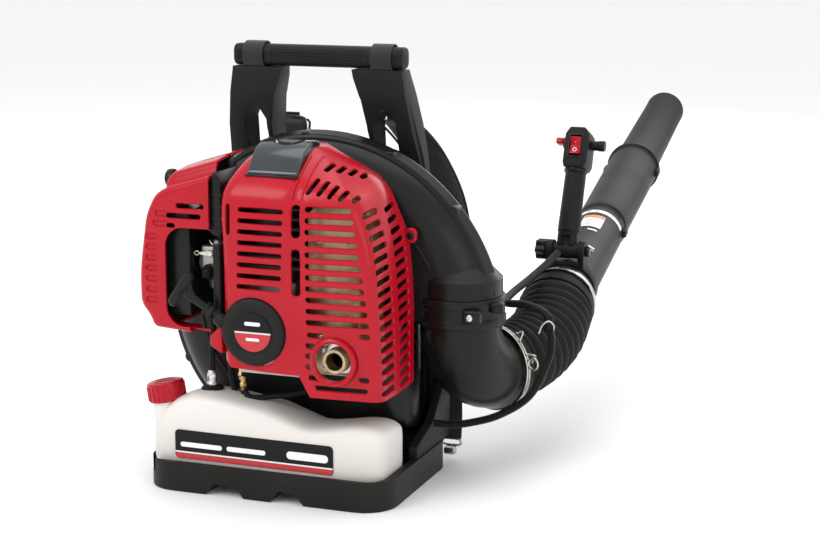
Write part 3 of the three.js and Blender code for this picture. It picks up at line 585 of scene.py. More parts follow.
print("tools ready")

# %% [markdown]
# ## The scroll housing
# Two moulded shells meet at a flange halfway back. The housing is a flat disc with a tube
# round its rim that grows towards the outlet, so each shell starts as a grid whose one
# side runs round the axis and whose other side runs from the hub over the rim. Rolling
# the grid by the scroll's formula gives a surface that no primitive has.

# %% The scroll's formula
SCROLL_START, SCROLL_GROWTH = 176, 56
FRONT_FACE, SEAM, REAR_FACE = 0, 41, 82
DUCT_X, DUCT_RADIUS = 184, 48
RIM_ROUND = 46
LEFT_SHARE = 0.961


def scroll_radius(angle):
    """Rim radius at an angle from +X, counter-clockwise from the front, in degrees."""
    travel = (300 - angle) % 360
    if travel <= 300:
        radius = SCROLL_START + SCROLL_GROWTH * (travel / 300) ** 2.4
    else:
        radius = SCROLL_START + SCROLL_GROWTH * (360 - travel) / 60
    lean = math.radians(angle % 360)
    if 300 < angle % 360 and math.cos(lean) > 0.3:
        radius = min(radius, 133 / math.cos(lean))
    return radius


def scroll_point(angle, radius, y):
    """A point of the scroll; its left half is a little narrower, to leave room for the flange."""
    lean = math.radians(angle)
    across = radius * math.cos(lean)
    if across < 0:
        across *= LEFT_SHARE
    return P(across, y, AXIS_Z + radius * math.sin(lean))


def scroll_shell(name, hub, face, direction):
    """Half of the housing, from its hub over the rounded rim to the seam."""
    def place(round_share, out_share):
        angle = 360 * round_share
        rim = scroll_radius(angle)
        shoulder = rim - RIM_ROUND
        if out_share < 0.5:
            share = out_share / 0.5
            radius = hub + (shoulder - hub) * share
            y = face
        else:
            bend = math.radians(90 * (out_share - 0.5) / 0.5)
            radius = shoulder + RIM_ROUND * math.sin(bend)
            y = SEAM - direction * (SEAM - FRONT_FACE) * math.cos(bend)
        return scroll_point(angle, radius, y)
    return rolled(name, place, 180, 32)


front_shell = scroll_shell("scroll_front_shell", 40, FRONT_FACE, 1)
hub_ring = turned("hub_ring", [(40, 0), (44, -3), (52, -3), (56, 0), (56, 4), (40, 4), (40, 0)],
                  P(0, 0, AXIS_Z), Y, 64, 0.6)
duct = turned("duct", [(DUCT_RADIUS, 0), (DUCT_RADIUS, 42), (30, 60)], P(DUCT_X, SEAM, 200), Z, 64)
front_shell = joined("scroll_front_shell", front_shell, hub_ring, duct)
modify(front_shell, "SOLIDIFY", thickness=2.4 * MM, offset=-1)
done(front_shell, black, nodes=["volute_front"], angle=40)
rear_shell = scroll_shell("scroll_rear_shell", 93, REAR_FACE, -1)
modify(rear_shell, "SOLIDIFY", thickness=2.4 * MM, offset=-1)
rings = [turned("guard", [(r, 0), (r + 4, 0), (r + 4, 3), (r, 3), (r, 0)], P(0, 79, AXIS_Z), Y, 72, 0.8)
         for r in (28, 44, 60, 76, 92)]
spokes = []
for i in range(4):
    spoke = box("spoke", -94, 94, 79, 82, -2.2, 2.2, 0.8)
    spoke.rotation_euler = (0, math.pi * i / 4, 0)
    spoke.location = P(0, 0, AXIS_Z)
    spokes.append(spoke)
only(*spokes)
bpy.ops.object.transform_apply(location=True, rotation=True, scale=True)
done(joined("scroll_rear_shell", rear_shell, *rings, *spokes), black, nodes=["volute_rear"], angle=40)
print("scroll rim grows from", round(scroll_radius(299)), "to", round(scroll_radius(1)), "mm")


# %% Seam flange and its screws
def flange_place(round_share, section_share):
    """A flat band with round edges that stands out of the rim on the front shell's side."""
    angle = -2 + 302 * round_share
    rim = scroll_radius(max(angle, 0.5))
    outline = [(0.0, 22), (3.6, 23), (4.6, 24.5), (4.8, 38), (4.2, 40), (4.2, 41.5), (1.0, 41.8), (-4, 42),
               (-9, 41), (-9, 24)]
    out, y = outline[round(section_share * len(outline)) % len(outline)]
    inner = RIM_ROUND * (1 - math.sqrt(max(0, 1 - ((SEAM - y) / SEAM) ** 2)))
    return scroll_point(angle, rim - inner * 0.9 + out, y)


flange = rolled("seam_flange", flange_place, 150, 10)
done(flange, black, angle=28)
for angle in (8, 34, 60, 90, 122, 160, 205, 250):
    rim = scroll_radius(angle)
    boss = turned("flange_boss", [(0, 0), (8.5, 0), (7.5, 17), (6, 18), (3.8, 18), (3.8, 14), (0, 14)],
                  scroll_point(angle, rim - 3.5, 42), -Y, 28, 0.6)
    done(boss, black, angle=30)
    screw("flange_screw", scroll_point(angle, rim - 3.5, 29.5), -Y, 3.4, tinted)

# A low rib stiffens the front shell just inside its rounded rim.
rib = rolled("front_rib", lambda a, b: scroll_point(
    20 + 270 * a, scroll_radius(20 + 270 * a) - 52 + 2.2 * math.cos(2 * math.pi * b),
    FRONT_FACE - 0.4 + 1.6 * math.sin(2 * math.pi * b)), 120, 8)
done(rib, black)

# %% [markdown]
# ## Outlet band, elbow and hose
# The collar clamps the elbow to the outlet. The elbow is one smooth bend, and the hose is
# a rubber bellows: its ribs are ripples of the radius along a curved tube. The hose is
# split where it bends; only its middle part rides on a body of its own.

# %% Collar and elbow
band = turned("outlet_collar", [(47, 0), (51, 0), (52, 1.5), (52, 8), (50.6, 9.5), (50.6, 22), (52, 23.5),
                                (52, 30.5), (51, 32), (47, 32), (47, 0)],
              P(DUCT_X, SEAM, 190), Z, 72, 0.6)
clamp_block = box("clamp_block", 204, 224, -12, 2, 199, 214, 2.5, 3)
lug = box("clamp_lug", 228, 243, 12, 22, 208, 220, 2, 3)
done(joined("outlet_collar", band, clamp_block, lug), black, nodes=["outlet_band"])
screw("collar_screw", P(212, -11.6, 206), -Y, 4.0, zinc)

ELBOW_OUT = Vector((0.3, 0.954, 0)).normalized()
ELBOW_END = P(205, 112, 122)
before_end = ELBOW_END - ELBOW_OUT * 14 * MM
elbow_path = smooth_path([(184, 41, 189.7), (184, 41, 176), (187, 52, 152), (193, 74, 131),
                          tuple(before_end / MM), tuple(ELBOW_END / MM)], 42)
swell = [1 + 0.035 * (i > 36) - 0.012 * math.cos(math.pi * i / 41) for i in range(42)]
elbow = tube("elbow_bend", elbow_path, DUCT_RADIUS - 1.4, 12, radii=swell, caps=False)
modify(elbow, "SOLIDIFY", thickness=2.6 * MM, offset=-1)
done(elbow, black, nodes=["elbow"], angle=50)

# %% Bellows hose
HOSE_RADIUS = 47
hose_points = [tuple((ELBOW_END + ELBOW_OUT * 0.3 * MM) / MM),
               tuple((ELBOW_END + ELBOW_OUT * 16 * MM) / MM),
               (222, 156, 125), (231, 190, 132), (235.5, 222, 143), tuple(on_pipe(-30) / MM),
               tuple(on_pipe(-16) / MM)]
hose_path = smooth_path(hose_points, 481)
RIBS = 11


def rib_radius(share):
    """The bellows between its two plain cuffs: broad crests and narrow grooves."""
    if share < 0.09 or share > 0.93:
        return 0.985
    wave = math.cos(2 * math.pi * RIBS * (share - 0.09) / 0.84)
    crest = (0.5 + 0.5 * -wave) ** 0.55
    return 0.925 + 0.075 * crest


def bellows(name, first, last):
    """Part of the hose between two shares of its length, as a hollow rubber tube."""
    low, high = round(first * 480), round(last * 480)
    radii = [rib_radius(i / 480) for i in range(low, high + 1)]
    piece = tube(name, hose_path[low:high + 1], HOSE_RADIUS, 10, radii=radii, caps=False)
    return modify(piece, "SOLIDIFY", thickness=2.4 * MM, offset=-1)


done(bellows("hose_lower_bellows", 0, 0.452), rubber,
     ("blower_frame", "hose_middle", hose_path[20], hose_path[210]), ["hose_lower"], angle=60)
done(bellows("hose_middle_bellows", 0.448, 0.552), rubber, "hose_middle", ["hose_middle"], angle=60)
done(bellows("hose_upper_bellows", 0.548, 1), rubber,
     ("hose_middle", "hose_end", hose_path[270], hose_path[462]), ["hose_upper"], angle=60)
print("hose length", round(sum((b - a).length for a, b in zip(hose_path, hose_path[1:])), 3), "m")

# %% Clamps on the hose
clamp_centre = ELBOW_END - ELBOW_OUT * 9 * MM
clamp_side = ELBOW_OUT.cross(Z)


def on_clamp(radius, degrees, along=0.0):
    turn = math.radians(degrees)
    return (clamp_centre + clamp_side * radius * MM * math.cos(turn) + Z * radius * MM * math.sin(turn)
            + ELBOW_OUT * along * MM)


wires = []
for along in (-0.6, 3.4):
    loop = [on_clamp(50.6, 360 * i / 96, along) for i in range(96)]
    wires.append(tube("wire_loop", loop, 1.25, 4, closed=True))
for start, bend in ((44, 1), (26, -1)):
    curl = [on_clamp(52.2 + 4.5 * (1 - math.cos(i / 24 * 2 * math.pi)), start + bend * i * 0.5,
                     1.4 + i * 0.25)
            for i in range(28)]
    wires.append(tube("wire_curl", curl, 1.25, 4))
eye = [on_clamp(58 + 6.4 * math.cos(i / 36 * 2 * math.pi), 12 + 6.6 * math.sin(i / 36 * 2 * math.pi), 1.5)
       for i in range(36)]
wires.append(tube("wire_eye", eye, 1.3, 4, closed=True))
done(joined("wire_hose_clamp", *wires), zinc, nodes=["wire_clamp"])

cuff = turned("hose_end_cuff", [(35, 0), (43, 0), (44.2, 2), (44.2, 6), (43, 7.5), (43, 17), (44, 18.5),
                                (42.5, 21.6), (35, 21.6), (35, 0)], on_pipe(-15.7), PIPE_WAY, 72, 0.5)
done(cuff, rubber, "hose_end", ["hose_cuff"])
strap_band = turned("hose_band", [(43.4, 0), (45.2, 0.4), (45.4, 4.5), (45.2, 8.6), (43.4, 9), (43.4, 0)],
                    on_pipe(-8), PIPE_WAY, 72, 0.3)
done(strap_band, zinc, "hose_end", ["hose_clamp"])


# %% [markdown]
# ## The engine cover
# The cover is one moulding whose plan changes with height: upright at the bottom, hipped
# at the top. Each height has a few corner points. The corners are rounded, the heights are
# blended by a smooth curve, and the grid rolled over them gets a wall and then its slots.
# A slot's cutter flares at the surface, which leaves the small chamfer a mould has.

# %% Rounded outlines and smooth heights
def eased(table, height):
    """Row of a table (height, a, b, ...) at any height, along a smooth curve."""
    k = 0
    while k < len(table) - 2 and table[k + 1][0] < height:
        k += 1
    low, high = table[k], table[k + 1]
    before = table[max(k - 1, 0)]
    after = table[min(k + 2, len(table) - 1)]
    span = high[0] - low[0]
    t = min(max((height - low[0]) / span, 0), 1)
    row = []
    for i in range(1, len(low)):
        m0 = (high[i] - before[i]) / max(high[0] - before[0], 1) * span
        m1 = (after[i] - low[i]) / max(after[0] - low[0], 1) * span
        row.append((2 * t ** 3 - 3 * t * t + 1) * low[i] + (t ** 3 - 2 * t * t + t) * m0
                   + (3 * t * t - 2 * t ** 3) * high[i] + (t ** 3 - t * t) * m1)
    return row


def softened_line(corners, radii, steps=7, fill=5):
    """A chain of corner points with each inner corner rounded."""
    line = []
    points = [Vector(c) for c in corners]
    for i, point in enumerate(points):
        if i in (0, len(points) - 1):
            piece = [point]
        else:
            back, ahead = points[i - 1] - point, points[i + 1] - point
            reach = min(radii[i - 1], back.length * 0.45, ahead.length * 0.45)
            start = point + back.normalized() * reach
            end = point + ahead.normalized() * reach
            piece = [start.lerp(point, t).lerp(point.lerp(end, t), t) for t in
                     [j / steps for j in range(steps + 1)]]
        if line:
            line += [line[-1].lerp(piece[0], j / fill) for j in range(1, fill)]
        line += piece
    return line


def along(line, share):
    """A point at a share of a chain's count of points."""
    place = share * (len(line) - 1)
    k = min(int(place), len(line) - 2)
    return line[k].lerp(line[k + 1], place - k)


def thicken(piece, wall):
    """Gives an open skin a wall on its inner side, and says how far its outside then reaches."""
    modify(piece, "SOLIDIFY", thickness=wall * MM, offset=-1)
    front = min(vertex.co.y for vertex in piece.data.vertices)
    print(piece.name, "front at", round(front / MM, 1), "mm")
    return piece


def slot_cutter(centre, way, normal, length, width, deep=16, flare=1.1):
    """A round-ended bar that sticks into a wall and widens where it leaves it."""
    half, radius = length / 2, width / 2
    piece = drawn("slot", [P(a, b, -deep) for a, b in rounded(-half, half, -radius, radius, radius * 0.98,
                                                              5)])
    bpy.ops.mesh.select_all(action="SELECT")
    bpy.ops.mesh.edge_face_add()
    for rise, grow in ((deep - flare, 0), (flare * 1.6, flare * 1.3)):
        bpy.ops.mesh.extrude_region_move(TRANSFORM_OT_translate={"value": (0, 0, rise * MM)})
        if grow:
            bpy.ops.transform.resize(value=((half + grow) / half, (radius + grow) / radius, 1),
                                     center_override=(0, 0, 0))
    weld(piece, 0.00001)
    normal = Vector(normal).normalized()
    side = (Vector(way) - normal * Vector(way).dot(normal)).normalized()
    turn = Matrix((side, normal.cross(side), normal)).transposed().to_4x4()
    piece.matrix_world = Matrix.Translation(Vector(centre)) @ turn
    return piece


# %% The cover's plan at any height
# (height, left, front, fold x, fold y, middle x, middle y, rear x)
COVER_LEVELS = [
    (128, -40, -117, 147, -112, 149, -60, 146),
    (150, -40, -118, 147, -113, 149, -60, 146),
    (220, -40, -119, 143, -114, 147, -60, 146),
    (267, -40, -120, 139, -115, 144, -58, 143),
    (300, -41, -120, 133, -115, 140, -54, 138),
    (322, -42, -120, 126, -114, 134, -48, 129),
    (346, -41, -117, 114, -110, 126, -44, 118),
    (360, -37, -109, 92, -103, 117, -42, 106),
    (372, -31, -98, 77, -90, 102, -40, 84),
    (384, -23, -83, 62, -76, 80, -37, 60),
    (394, -12, -66, 48, -62, 58, -34, 42),
]
COVER_BACK, GROOVE_X = -10, 51


def cover_line(height):
    """The cover's outline at one height: left side, front, fold, right side."""
    left, front, fold_x, fold_y, mid_x, mid_y, rear = eased(COVER_LEVELS, height)
    corners = [(left, COVER_BACK, 0), (left, front + 1, 0), (18, front - 3, 0), (fold_x, fold_y, 0),
               (mid_x, mid_y, 0), (rear, COVER_BACK, 0)]
    line = softened_line(corners, (15, 60, 15, 40), 7, 8)
    deep = 2.4 * min(max((380 - height) / 30, 0), 1)
    for point in line:
        if point.y < -30 and -20 < point.x < 120:
            point.y += deep * math.exp(-((point.x - GROOVE_X) / 5) ** 2)
    return line


def cover_front(x, z):
    """The cover's front face at a place seen from the front."""
    line = cover_line(z)
    for here, there in zip(line[8:], line[9:]):
        if here.x <= x < there.x:
            return here.y + (there.y - here.y) * (x - here.x) / (there.x - here.x)
    return line[-1].y


def cover_side(y, z):
    """The cover's right side at a place seen from the right."""
    line = cover_line(z)
    for here, there in zip(line[24:], line[25:]):
        if here.x > 60 and here.y <= y < there.y:
            return here.x + (there.x - here.x) * (y - here.y) / (there.y - here.y)
    return line[-1].x


def front_slot(x, z, length, width, tilt=0.0):
    """A slot on a face seen from the front; tilt is in degrees from level."""
    y = cover_front(x, z)
    slope_x = (cover_front(x + 3, z) - cover_front(x - 3, z)) / 6
    slope_z = (cover_front(x, z + 3) - cover_front(x, z - 3)) / 6
    turn = math.radians(tilt)
    way = (math.cos(turn), math.cos(turn) * slope_x + math.sin(turn) * slope_z, math.sin(turn))
    return slot_cutter(P(x, y, z), way, (slope_x, -1, slope_z), length, width)


def side_slot(y, z, length, width, tilt=0.0):
    x = cover_side(y, z)
    slope_y = (cover_side(y + 3, z) - cover_side(y - 3, z)) / 6
    slope_z = (cover_side(y, z + 3) - cover_side(y, z - 3)) / 6
    turn = math.radians(tilt)
    way = (math.cos(turn) * slope_y, math.cos(turn), math.sin(turn))
    return slot_cutter(P(x, y, z), way, (1, -slope_y, -slope_z), length, width)


# %% Rolling the cover and cutting its slots
COVER_COUNT = len(cover_line(200))
cover = rolled("engine_cover_shell", lambda a, b: Vector((*(along(cover_line(128 + 266 * b), a) * MM).xy,
                                                          (128 + 266 * b) * MM)), COVER_COUNT - 1, 60)
cover_roof = rolled("engine_cover_roof", lambda a, b: Vector((
    *((along(cover_line(394), a * 0.5).lerp(along(cover_line(394), 1 - a * 0.5), b)) * MM).xy,
    (394 + 3 * math.sin(math.pi * b) * math.sin(math.pi * a)) * MM)), 24, 8)
cover = weld(joined("engine_cover_shell", cover, cover_roof), 0.0003)
thicken(cover, 3)

cuts = [front_slot(10 - 0.5 * i, 332 - 12.2 * i, 54, 5.2) for i in range(8)]
for i in range(11):
    right_end = 113 + 20 * (i / 10) ** 0.8
    cuts.append(front_slot((61 + right_end) / 2, 336 - 12.4 * i, right_end - 61, 5.6))
cuts += [front_slot(x, z, long, 5.4) for x, z, long in (
    (72, 198, 19), (66, 186, 11), (66, 174.5, 11), (66, 162.5, 11), (71, 150.5, 15), (128, 200, 12),
    (127, 152, 12))]
cuts.append(front_slot(101, 139.5, 60, 5.2))
cuts += [front_slot(GROOVE_X, 322, 36, 9.5, 90), front_slot(GROOVE_X - 0.5, 266, 52, 9, 90)]
cuts.append(front_slot(-30, 320, 34, 5.5, 90))
for i in range(17):
    height = 331 - 12.1 * i
    rear = min(cover_side(-40, height), 146)
    for y in (-90, -42):
        cuts.append(side_slot(y, height, 34, 6, 5))
for i in range(5):
    cuts.append(front_slot(74 + 10.2 * i, 377 - 2.6 * i - 0.35 * i * i, 22 - 1.5 * i, 5.6, 62))
    cuts.append(front_slot(66 + 12 * i, 360 - 1.1 * i - 0.5 * i * i, 24 - 1.5 * i, 5.6, 62))
cuts.append(front_slot(124, 350, 6, 6))
carve_solids = [
    turned("exhaust_hole", [(0, 0), (21.5, 0), (21.5, 30), (0, 30)], P(93, -140, 170), Y, 40),
    turned("starter_hole", [(0, 0), (38.6, 0), (38.6, 40), (0, 40)], P(0, -140, AXIS_Z), Y, 64),
    prism("lower_left", [(-70, 100), (64.5, 100), (64.5, 128.5), (52, 151.5), (-30, 154), (-43, 166),
                         (-70, 166)],
          "Y", -150, 10, 0),
    box("rope_gate", -60, -34, -135, -100, 197, 215, 3),
    box("cap_seat", -14.5, 48.5, -106, -38, 366, 420, 2),
]
print(len(cuts), "slots")
carve(cover, *cuts, quick=True)
for solid in carve_solids:
    carve(cover, solid, quick=True)
done(cover, red, nodes=["engine_cover"], angle=32)

# %% Fittings of the cover
rim = turned("exhaust_rim", [(21.3, 0), (27, 0), (27.5, 1.2), (26.5, 3.6), (24.5, 4.6), (22.6, 4.2),
                             (21.3, 2.6), (21.3, 0)],
             P(93, -117.2, 170), -Y, 56)
done(rim, red, angle=30)
ear = prism("cover_ear", rounded(137, 151, 287, 304, 6.5), "Y", -17, -11, 1.2)
carve(ear, turned("ear_hole", [(0, 0), (3.2, 0), (3.2, 20), (0, 20)], P(144.5, -5, 295.5), -Y, 24))
done(ear, red)
screw("cover_screw", P(144.5, -16.6, 295.5), -Y, 4.6, black)
wing = prism("cover_wing", [(-40, 205), (-44, 198), (-55, 188), (-55, 176), (-44, 170), (-40, 168)], "Y",
             -117.6, -96, 2)
done(wing, red)
for x in (45.6, 56.8):
    edge = [(x + 0.13 * (z - 352), cover_front(x + 0.13 * max(z - 352, 0), z) - 0.3,
             z) for z in range(352, 392, 5)]
    edge = [(x + 0.4, cover_front(x, 346) - 0.2, 346)] + edge
    done(tube("cover_ridge", smooth_path(edge, 26), 1.5, 4), red, angle=60)

# %% The glossy cap on top
cap = prism("top_cap_shell", [(-103.2, 367.4), (-40.2, 367.4), (-40.2, 399), (-50, 401.4), (-60, 401.7),
                              (-72, 398.6),
                              (-82, 393.7), (-94, 382.5), (-103.2, 371.2)], "X", -13.2, 47.2, 3.0, 4)
dimple = turned("thumb_dimple", [(0, -6), (15, -3), (21, 4), (21, 20), (0, 20)], P(20, -58, 402.5),
                (0, -0.2, 1), 40)
carve(cap, dimple)
done(cap, dark_gloss, nodes=["top_cap"], angle=30)
border = [(-14.6, -104.4, 367.6), (17, -105.2, 367.4), (48.6, -104.4, 367.6)]
done(tube("cap_seal", smooth_path(border, 20), 1.3, 4), black, angle=60)


# %% [markdown]
# ## Recoil starter
# A disc-shaped case sits in the middle of the cover, with a round two-tone badge. Its
# handle is a T: a square-shouldered stem that splits into a rounded bar, pulled on a cord.

# %% Starter case and badge
starter = turned("starter_disc", [(33, 20), (38, 17), (38, 5), (36.8, 2.2), (33.5, 0.4), (29.5, 0),
                                  (27.2, 0.8),
                                  (25.2, 2.6), (22.4, 3.2), (0, 3.2), (0, 6.5), (28, 6.5), (33, 12),
                                  (33, 20)],
                 P(0, -126, AXIS_Z), Y, 96)
done(starter, charcoal, nodes=["starter_case"], angle=28)


def disc_part(name, low, high, radius=21.6):
    """A slice of a thin disc between two heights, in the plane of the badge."""
    points = []
    for i in range(73):
        turn = 2 * math.pi * i / 72
        points.append((radius * math.cos(turn), AXIS_Z + min(max(radius * math.sin(turn), low), high)))
    tidy = [p for p, q in zip(points, points[1:]) if math.dist(p, q) > 0.01]
    return prism(name, tidy, "Y", -123.8, -122.9)


badge_black = moulded("badge black", (0.0035, 0.0036, 0.004), (0.006, 0.006, 0.0065), 0.3, 300, 0.02,
                      shine=0.2)
badge_red = moulded("badge red", (0.46, 0.006, 0.012), (0.48, 0.007, 0.014), 0.25, 300, 0.02, 0.3)
badge_silver = metal("badge silver", (0.62, 0.62, 0.62), (0.70, 0.70, 0.70), 0.3, 300)
badge_white = moulded("badge white", (0.80, 0.79, 0.77), (0.86, 0.85, 0.83), 0.35, 300, 0.02)
badge_amber = moulded("badge amber", (0.75, 0.20, 0.015), (0.80, 0.24, 0.02), 0.35, 300, 0.02)
done(disc_part("badge_upper", 0.4, 22), badge_black, smooth=False)
done(disc_part("badge_line", -1.5, 0.35, 21.6), badge_silver, smooth=False)
done(disc_part("badge_lower", -22, -1.55), badge_red, smooth=False)
dash = prism("badge_mark", rounded(-9.5, 9.5, AXIS_Z + 7.4, AXIS_Z + 11.6, 2.05), "Y", -124.1, -123.4)
done(dash, badge_white, smooth=False)
dash = prism("badge_mark", rounded(-8, 8, AXIS_Z - 9.6, AXIS_Z - 6.4, 1.55), "Y", -124.1, -123.4)
done(dash, badge_white, smooth=False)
snout = turned("rope_snout", [(3.0, 0), (7.2, 0), (8.0, 2.5), (7.6, 9), (5.6, 12.5), (3.0, 12.5), (3.0, 0)],
               P(-36.5, -117, 203.5), (-0.82, -0.12, 0.56), 28, 0.5)
arm = prism("rope_arm", [(-12, 172), (-40, 199), (-44, 205), (-39, 211), (-28, 214), (-8, 230)], "Y",
            -121.5, -110, 2.5)
done(joined("rope_guide", arm, snout), charcoal)

# %% Pull handle
ROPE_OUT = Vector((-0.82, -0.12, 0.56)).normalized()
ROPE_GATE = P(-40, -114, 206)
BAR_WAY = Vector((0.56, 0, 0.83)).normalized()


def on_rope(distance):
    return ROPE_GATE + ROPE_OUT * distance * MM


bar_points = [on_rope(58) + BAR_WAY * MM * 22.6 * (i / 12 - 1) for i in range(25)]
bar_sizes = [max(0.35, (1 - abs(i / 12 - 1) ** 7) ** 0.5) * (1 + 0.10 * abs(i / 12 - 1)) for i in range(25)]
bar = tube("pull_bar", bar_points, 6.3, 7, radii=bar_sizes)
stem_points = [on_rope(14 + i * 2.2) for i in range(19)]
stem_sizes = [1.25 if i < 4 else 0.95 + 0.55 * ((i - 4) / 14) ** 2.5 for i in range(19)]
stem = tube("pull_stem", stem_points, 4.6, 7, radii=stem_sizes)
blocks = []
for offset, size in ((16, 7.2), (22.5, 6.4)):
    block_piece = box("pull_block", -size, size, -5.6, 5.6, -2.3, 2.3, 1.2, 3)
    block_piece.matrix_world = Matrix.Translation(on_rope(offset)) @ (
        Vector((0, 0, 1)).rotation_difference(ROPE_OUT).to_matrix().to_4x4())
    blocks.append(block_piece)
webs = []
for side in (-1, 1):
    path = smooth_path([tuple(on_rope(38) / MM), tuple((on_rope(48) + BAR_WAY * side * 5 * MM) / MM),
                        tuple((on_rope(55) + BAR_WAY * side * 13 * MM) / MM)], 10)
    webs.append(tube("pull_web", path, 3.8, 6))
done(joined("pull_grip", bar, stem, *blocks, *webs), charcoal, "starter_grip", ["starter_grip"], angle=50)
cord = tube("pull_rope", [on_rope(i * 13.7 / 12) for i in range(13)], 1.75, 5,
            radii=[1 + 0.06 * math.sin(i * 2.1) for i in range(13)])
done(cord, webbing, nodes=["starter_rope"], angle=60)

# %% [markdown]
# ## Engine castings behind the slots
# Most of the engine is only seen through the slots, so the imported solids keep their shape
# and take a finish: sand-cast alloy, polished shaft, and sheet steel browned by heat.

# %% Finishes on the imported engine
SOOT = moulded("dark casting", (0.020, 0.020, 0.019), (0.034, 0.033, 0.030), 0.55, 900, 0.4)


def finish(material, *names):
    """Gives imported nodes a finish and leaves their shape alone."""
    for name in names:
        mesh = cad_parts[name].data
        mesh.materials.clear()
        mesh.materials.append(material)


finish(cast, "piston", "fan")
finish(zinc, "crankshaft")
finish(black, "starter_pulley")
finish(foam, "air_filter")
done(softened("crankcase_casting", "crankcase", 1.2), cast, nodes=["crankcase"], angle=30)
done(softened("cylinder_casting", "cylinder", 0.5, 1), SOOT, nodes=["cylinder"], angle=30)
done(softened("muffler_box", "muffler", 1.6), tinted, nodes=["muffler"], angle=30)
seam_band = prism("muffler_seam", rounded(54.6, 117.4, 148.6, 339.4, 17), "Y", -62, -58.5, 0.8)
done(seam_band, tinted)
for x, z in ((70, 196), (102, 196), (70, 300), (102, 300)):
    screw("muffler_screw", P(x, -98.2, z), -Y, 4.4, zinc)
flange_plate = prism("exhaust_flange", rounded(73, 113, 152, 188, 9), "Y", -101.6, -98.4, 0.8)
carve(flange_plate, turned("stub_hole", [(0, 0), (14.4, 0), (14.4, 20), (0, 20)], P(93, -110, 170), Y, 32))
done(flange_plate, zinc)
plug = turned("plug_boot", [(0, 0), (5, 0), (5, 11), (10, 12), (10.6, 14), (10.6, 17), (9, 19), (9, 27),
                            (7, 31), (0, 32)],
              P(0, -53, 338), Z, 36, 0.5)
done(plug, rubber, nodes=["spark_plug"])


# %% [markdown]
# ## Air cleaner and carburettor
# The air cleaner's red cover is a deep shell, open towards the engine and the housing. Its
# outline seen from the front changes with depth: behind the front part a hood stands up.
# One grid is rolled over it, first across the front, then round the front edge, then back
# along the wall, and the openings are cut once the skin has its thickness.

# %% Air cleaner cover
CLEANER_RIGHT, CLEANER_FRONT, CLEANER_ROUND = -63.5, -98, 7
BODY_OUTLINE = [(-90, 183.5), (-136, 186.5), (-141, 199), (-152.5, 213), (-153, 250), (-143.5, 315),
                (-132, 338), (-117, 347.5), (CLEANER_RIGHT, 363)]
HOOD_OUTLINE = [(-90, 183.5), (-136, 186.5), (-141, 199), (-152.5, 213), (-153, 250), (-143.5, 315),
                (-129, 333), (-126.5, 363), (CLEANER_RIGHT, 382)]
OUTLINE_ROUNDS = (8, 8, 8, 26, 30, 14, 12)
HOOD_RISE = [(-98, 0), (-79, 0), (-75.5, 0.55), (-72.5, 0.74), (-60, 0.84), (-40, 0.96), (-8, 1.0)]
body_line = softened_line([(x, z, 0) for x, z in BODY_OUTLINE], OUTLINE_ROUNDS, 6, 6)
hood_line = softened_line([(x, z, 0) for x, z in HOOD_OUTLINE], OUTLINE_ROUNDS, 6, 6)
CLEANER_DEPTHS = [-88, -84, -80, -78, -76.5, -75.5, -74.5, -73.5, -72, -68, -60, -50, -40, -30, -20, -8]


def cleaner_edge(share, y):
    """The outline at a depth, and the direction towards its inside."""
    rise = eased(HOOD_RISE, y)[0]
    spot = along(body_line, share).lerp(along(hood_line, share), rise)
    step = along(body_line, min(share + 0.01, 1)) - along(body_line, max(share - 0.01, 0))
    return spot, Vector((step.y, -step.x, 0)).normalized()


def cleaner_place(share, back_share):
    row = round(back_share * 30)
    if row >= 14:
        y = CLEANER_DEPTHS[row - 15] if row > 14 else CLEANER_FRONT + CLEANER_ROUND
        spot = cleaner_edge(share, y)[0]
        return P(spot.x, y, spot.y)
    turn = math.radians(90 * min(max(row - 8, 0) / 6, 1))
    spot, inward = cleaner_edge(share, CLEANER_FRONT)
    edge = spot + inward * CLEANER_ROUND * (1 - math.sin(turn))
    edge.x = min(edge.x, CLEANER_RIGHT)
    y = CLEANER_FRONT + CLEANER_ROUND * (1 - math.cos(turn))
    if row < 8:
        right = Vector((CLEANER_RIGHT, 187 + (356 - 187) * share, 0))
        edge = right.lerp(edge, row / 8)
    return P(edge.x, y, edge.y)


body = rolled("cleaner_cover_shell", cleaner_place, len(body_line) - 1, 30)
thicken(body, 2.8)
carve(body, prism("carburettor_bay", rounded(-118.5, -20, 190, 303, 22, 8), "Y", -115, -60, 0),
      solver="MANIFOLD")
carve(body, prism("floor_cut", rounded(-119, -20, 150, 230, 4, 3), "Y", -66, 20, 0), solver="MANIFOLD")


def cleaner_slot(x0, x1, z, width=5.4, deep=16, tilt=0.0, y=-98.0, normal=(0, -1, 0)):
    turn = math.radians(tilt)
    return slot_cutter(P((x0 + x1) / 2, y, z), (math.cos(turn), 0, math.sin(turn)), normal, x1 - x0, width,
                       deep)


through = [cleaner_slot(-104, -70, 327.5), cleaner_slot(-117, -74, 316),
           cleaner_slot(-117, -106, 304.8, 4.8)]
blind = [cleaner_slot(-130, -112, 317.6, 5.2, 2.0), cleaner_slot(-133, -112, 306.4, 5.2, 2.0)]
blind += [cleaner_slot(-143, -129.5, 218.5 + 12.1 * i, 5.6, 2.0) for i in range(7)]
carve(body, *through, solver="MANIFOLD")
carve(body, *blind, solver="MANIFOLD")
louvers = [cleaner_slot(-119 + 11.5 * i, -105 + 11.5 * i, 353.5 + 2.6 * i, 3.6, 3, 48, -86,
                        (0.05, -0.55, 0.83)) for i in range(5)]
louvers += [cleaner_slot(-96 + 9 * i, -84 + 9 * i, 377.5 + 1.2 * i, 3.6, 8, 48, -44,
                         (-0.1, -0.3, 0.95)) for i in range(4)]
carve(body, *louvers, solver="MANIFOLD")
done(body, red, nodes=["air_cleaner_cover"], angle=32)

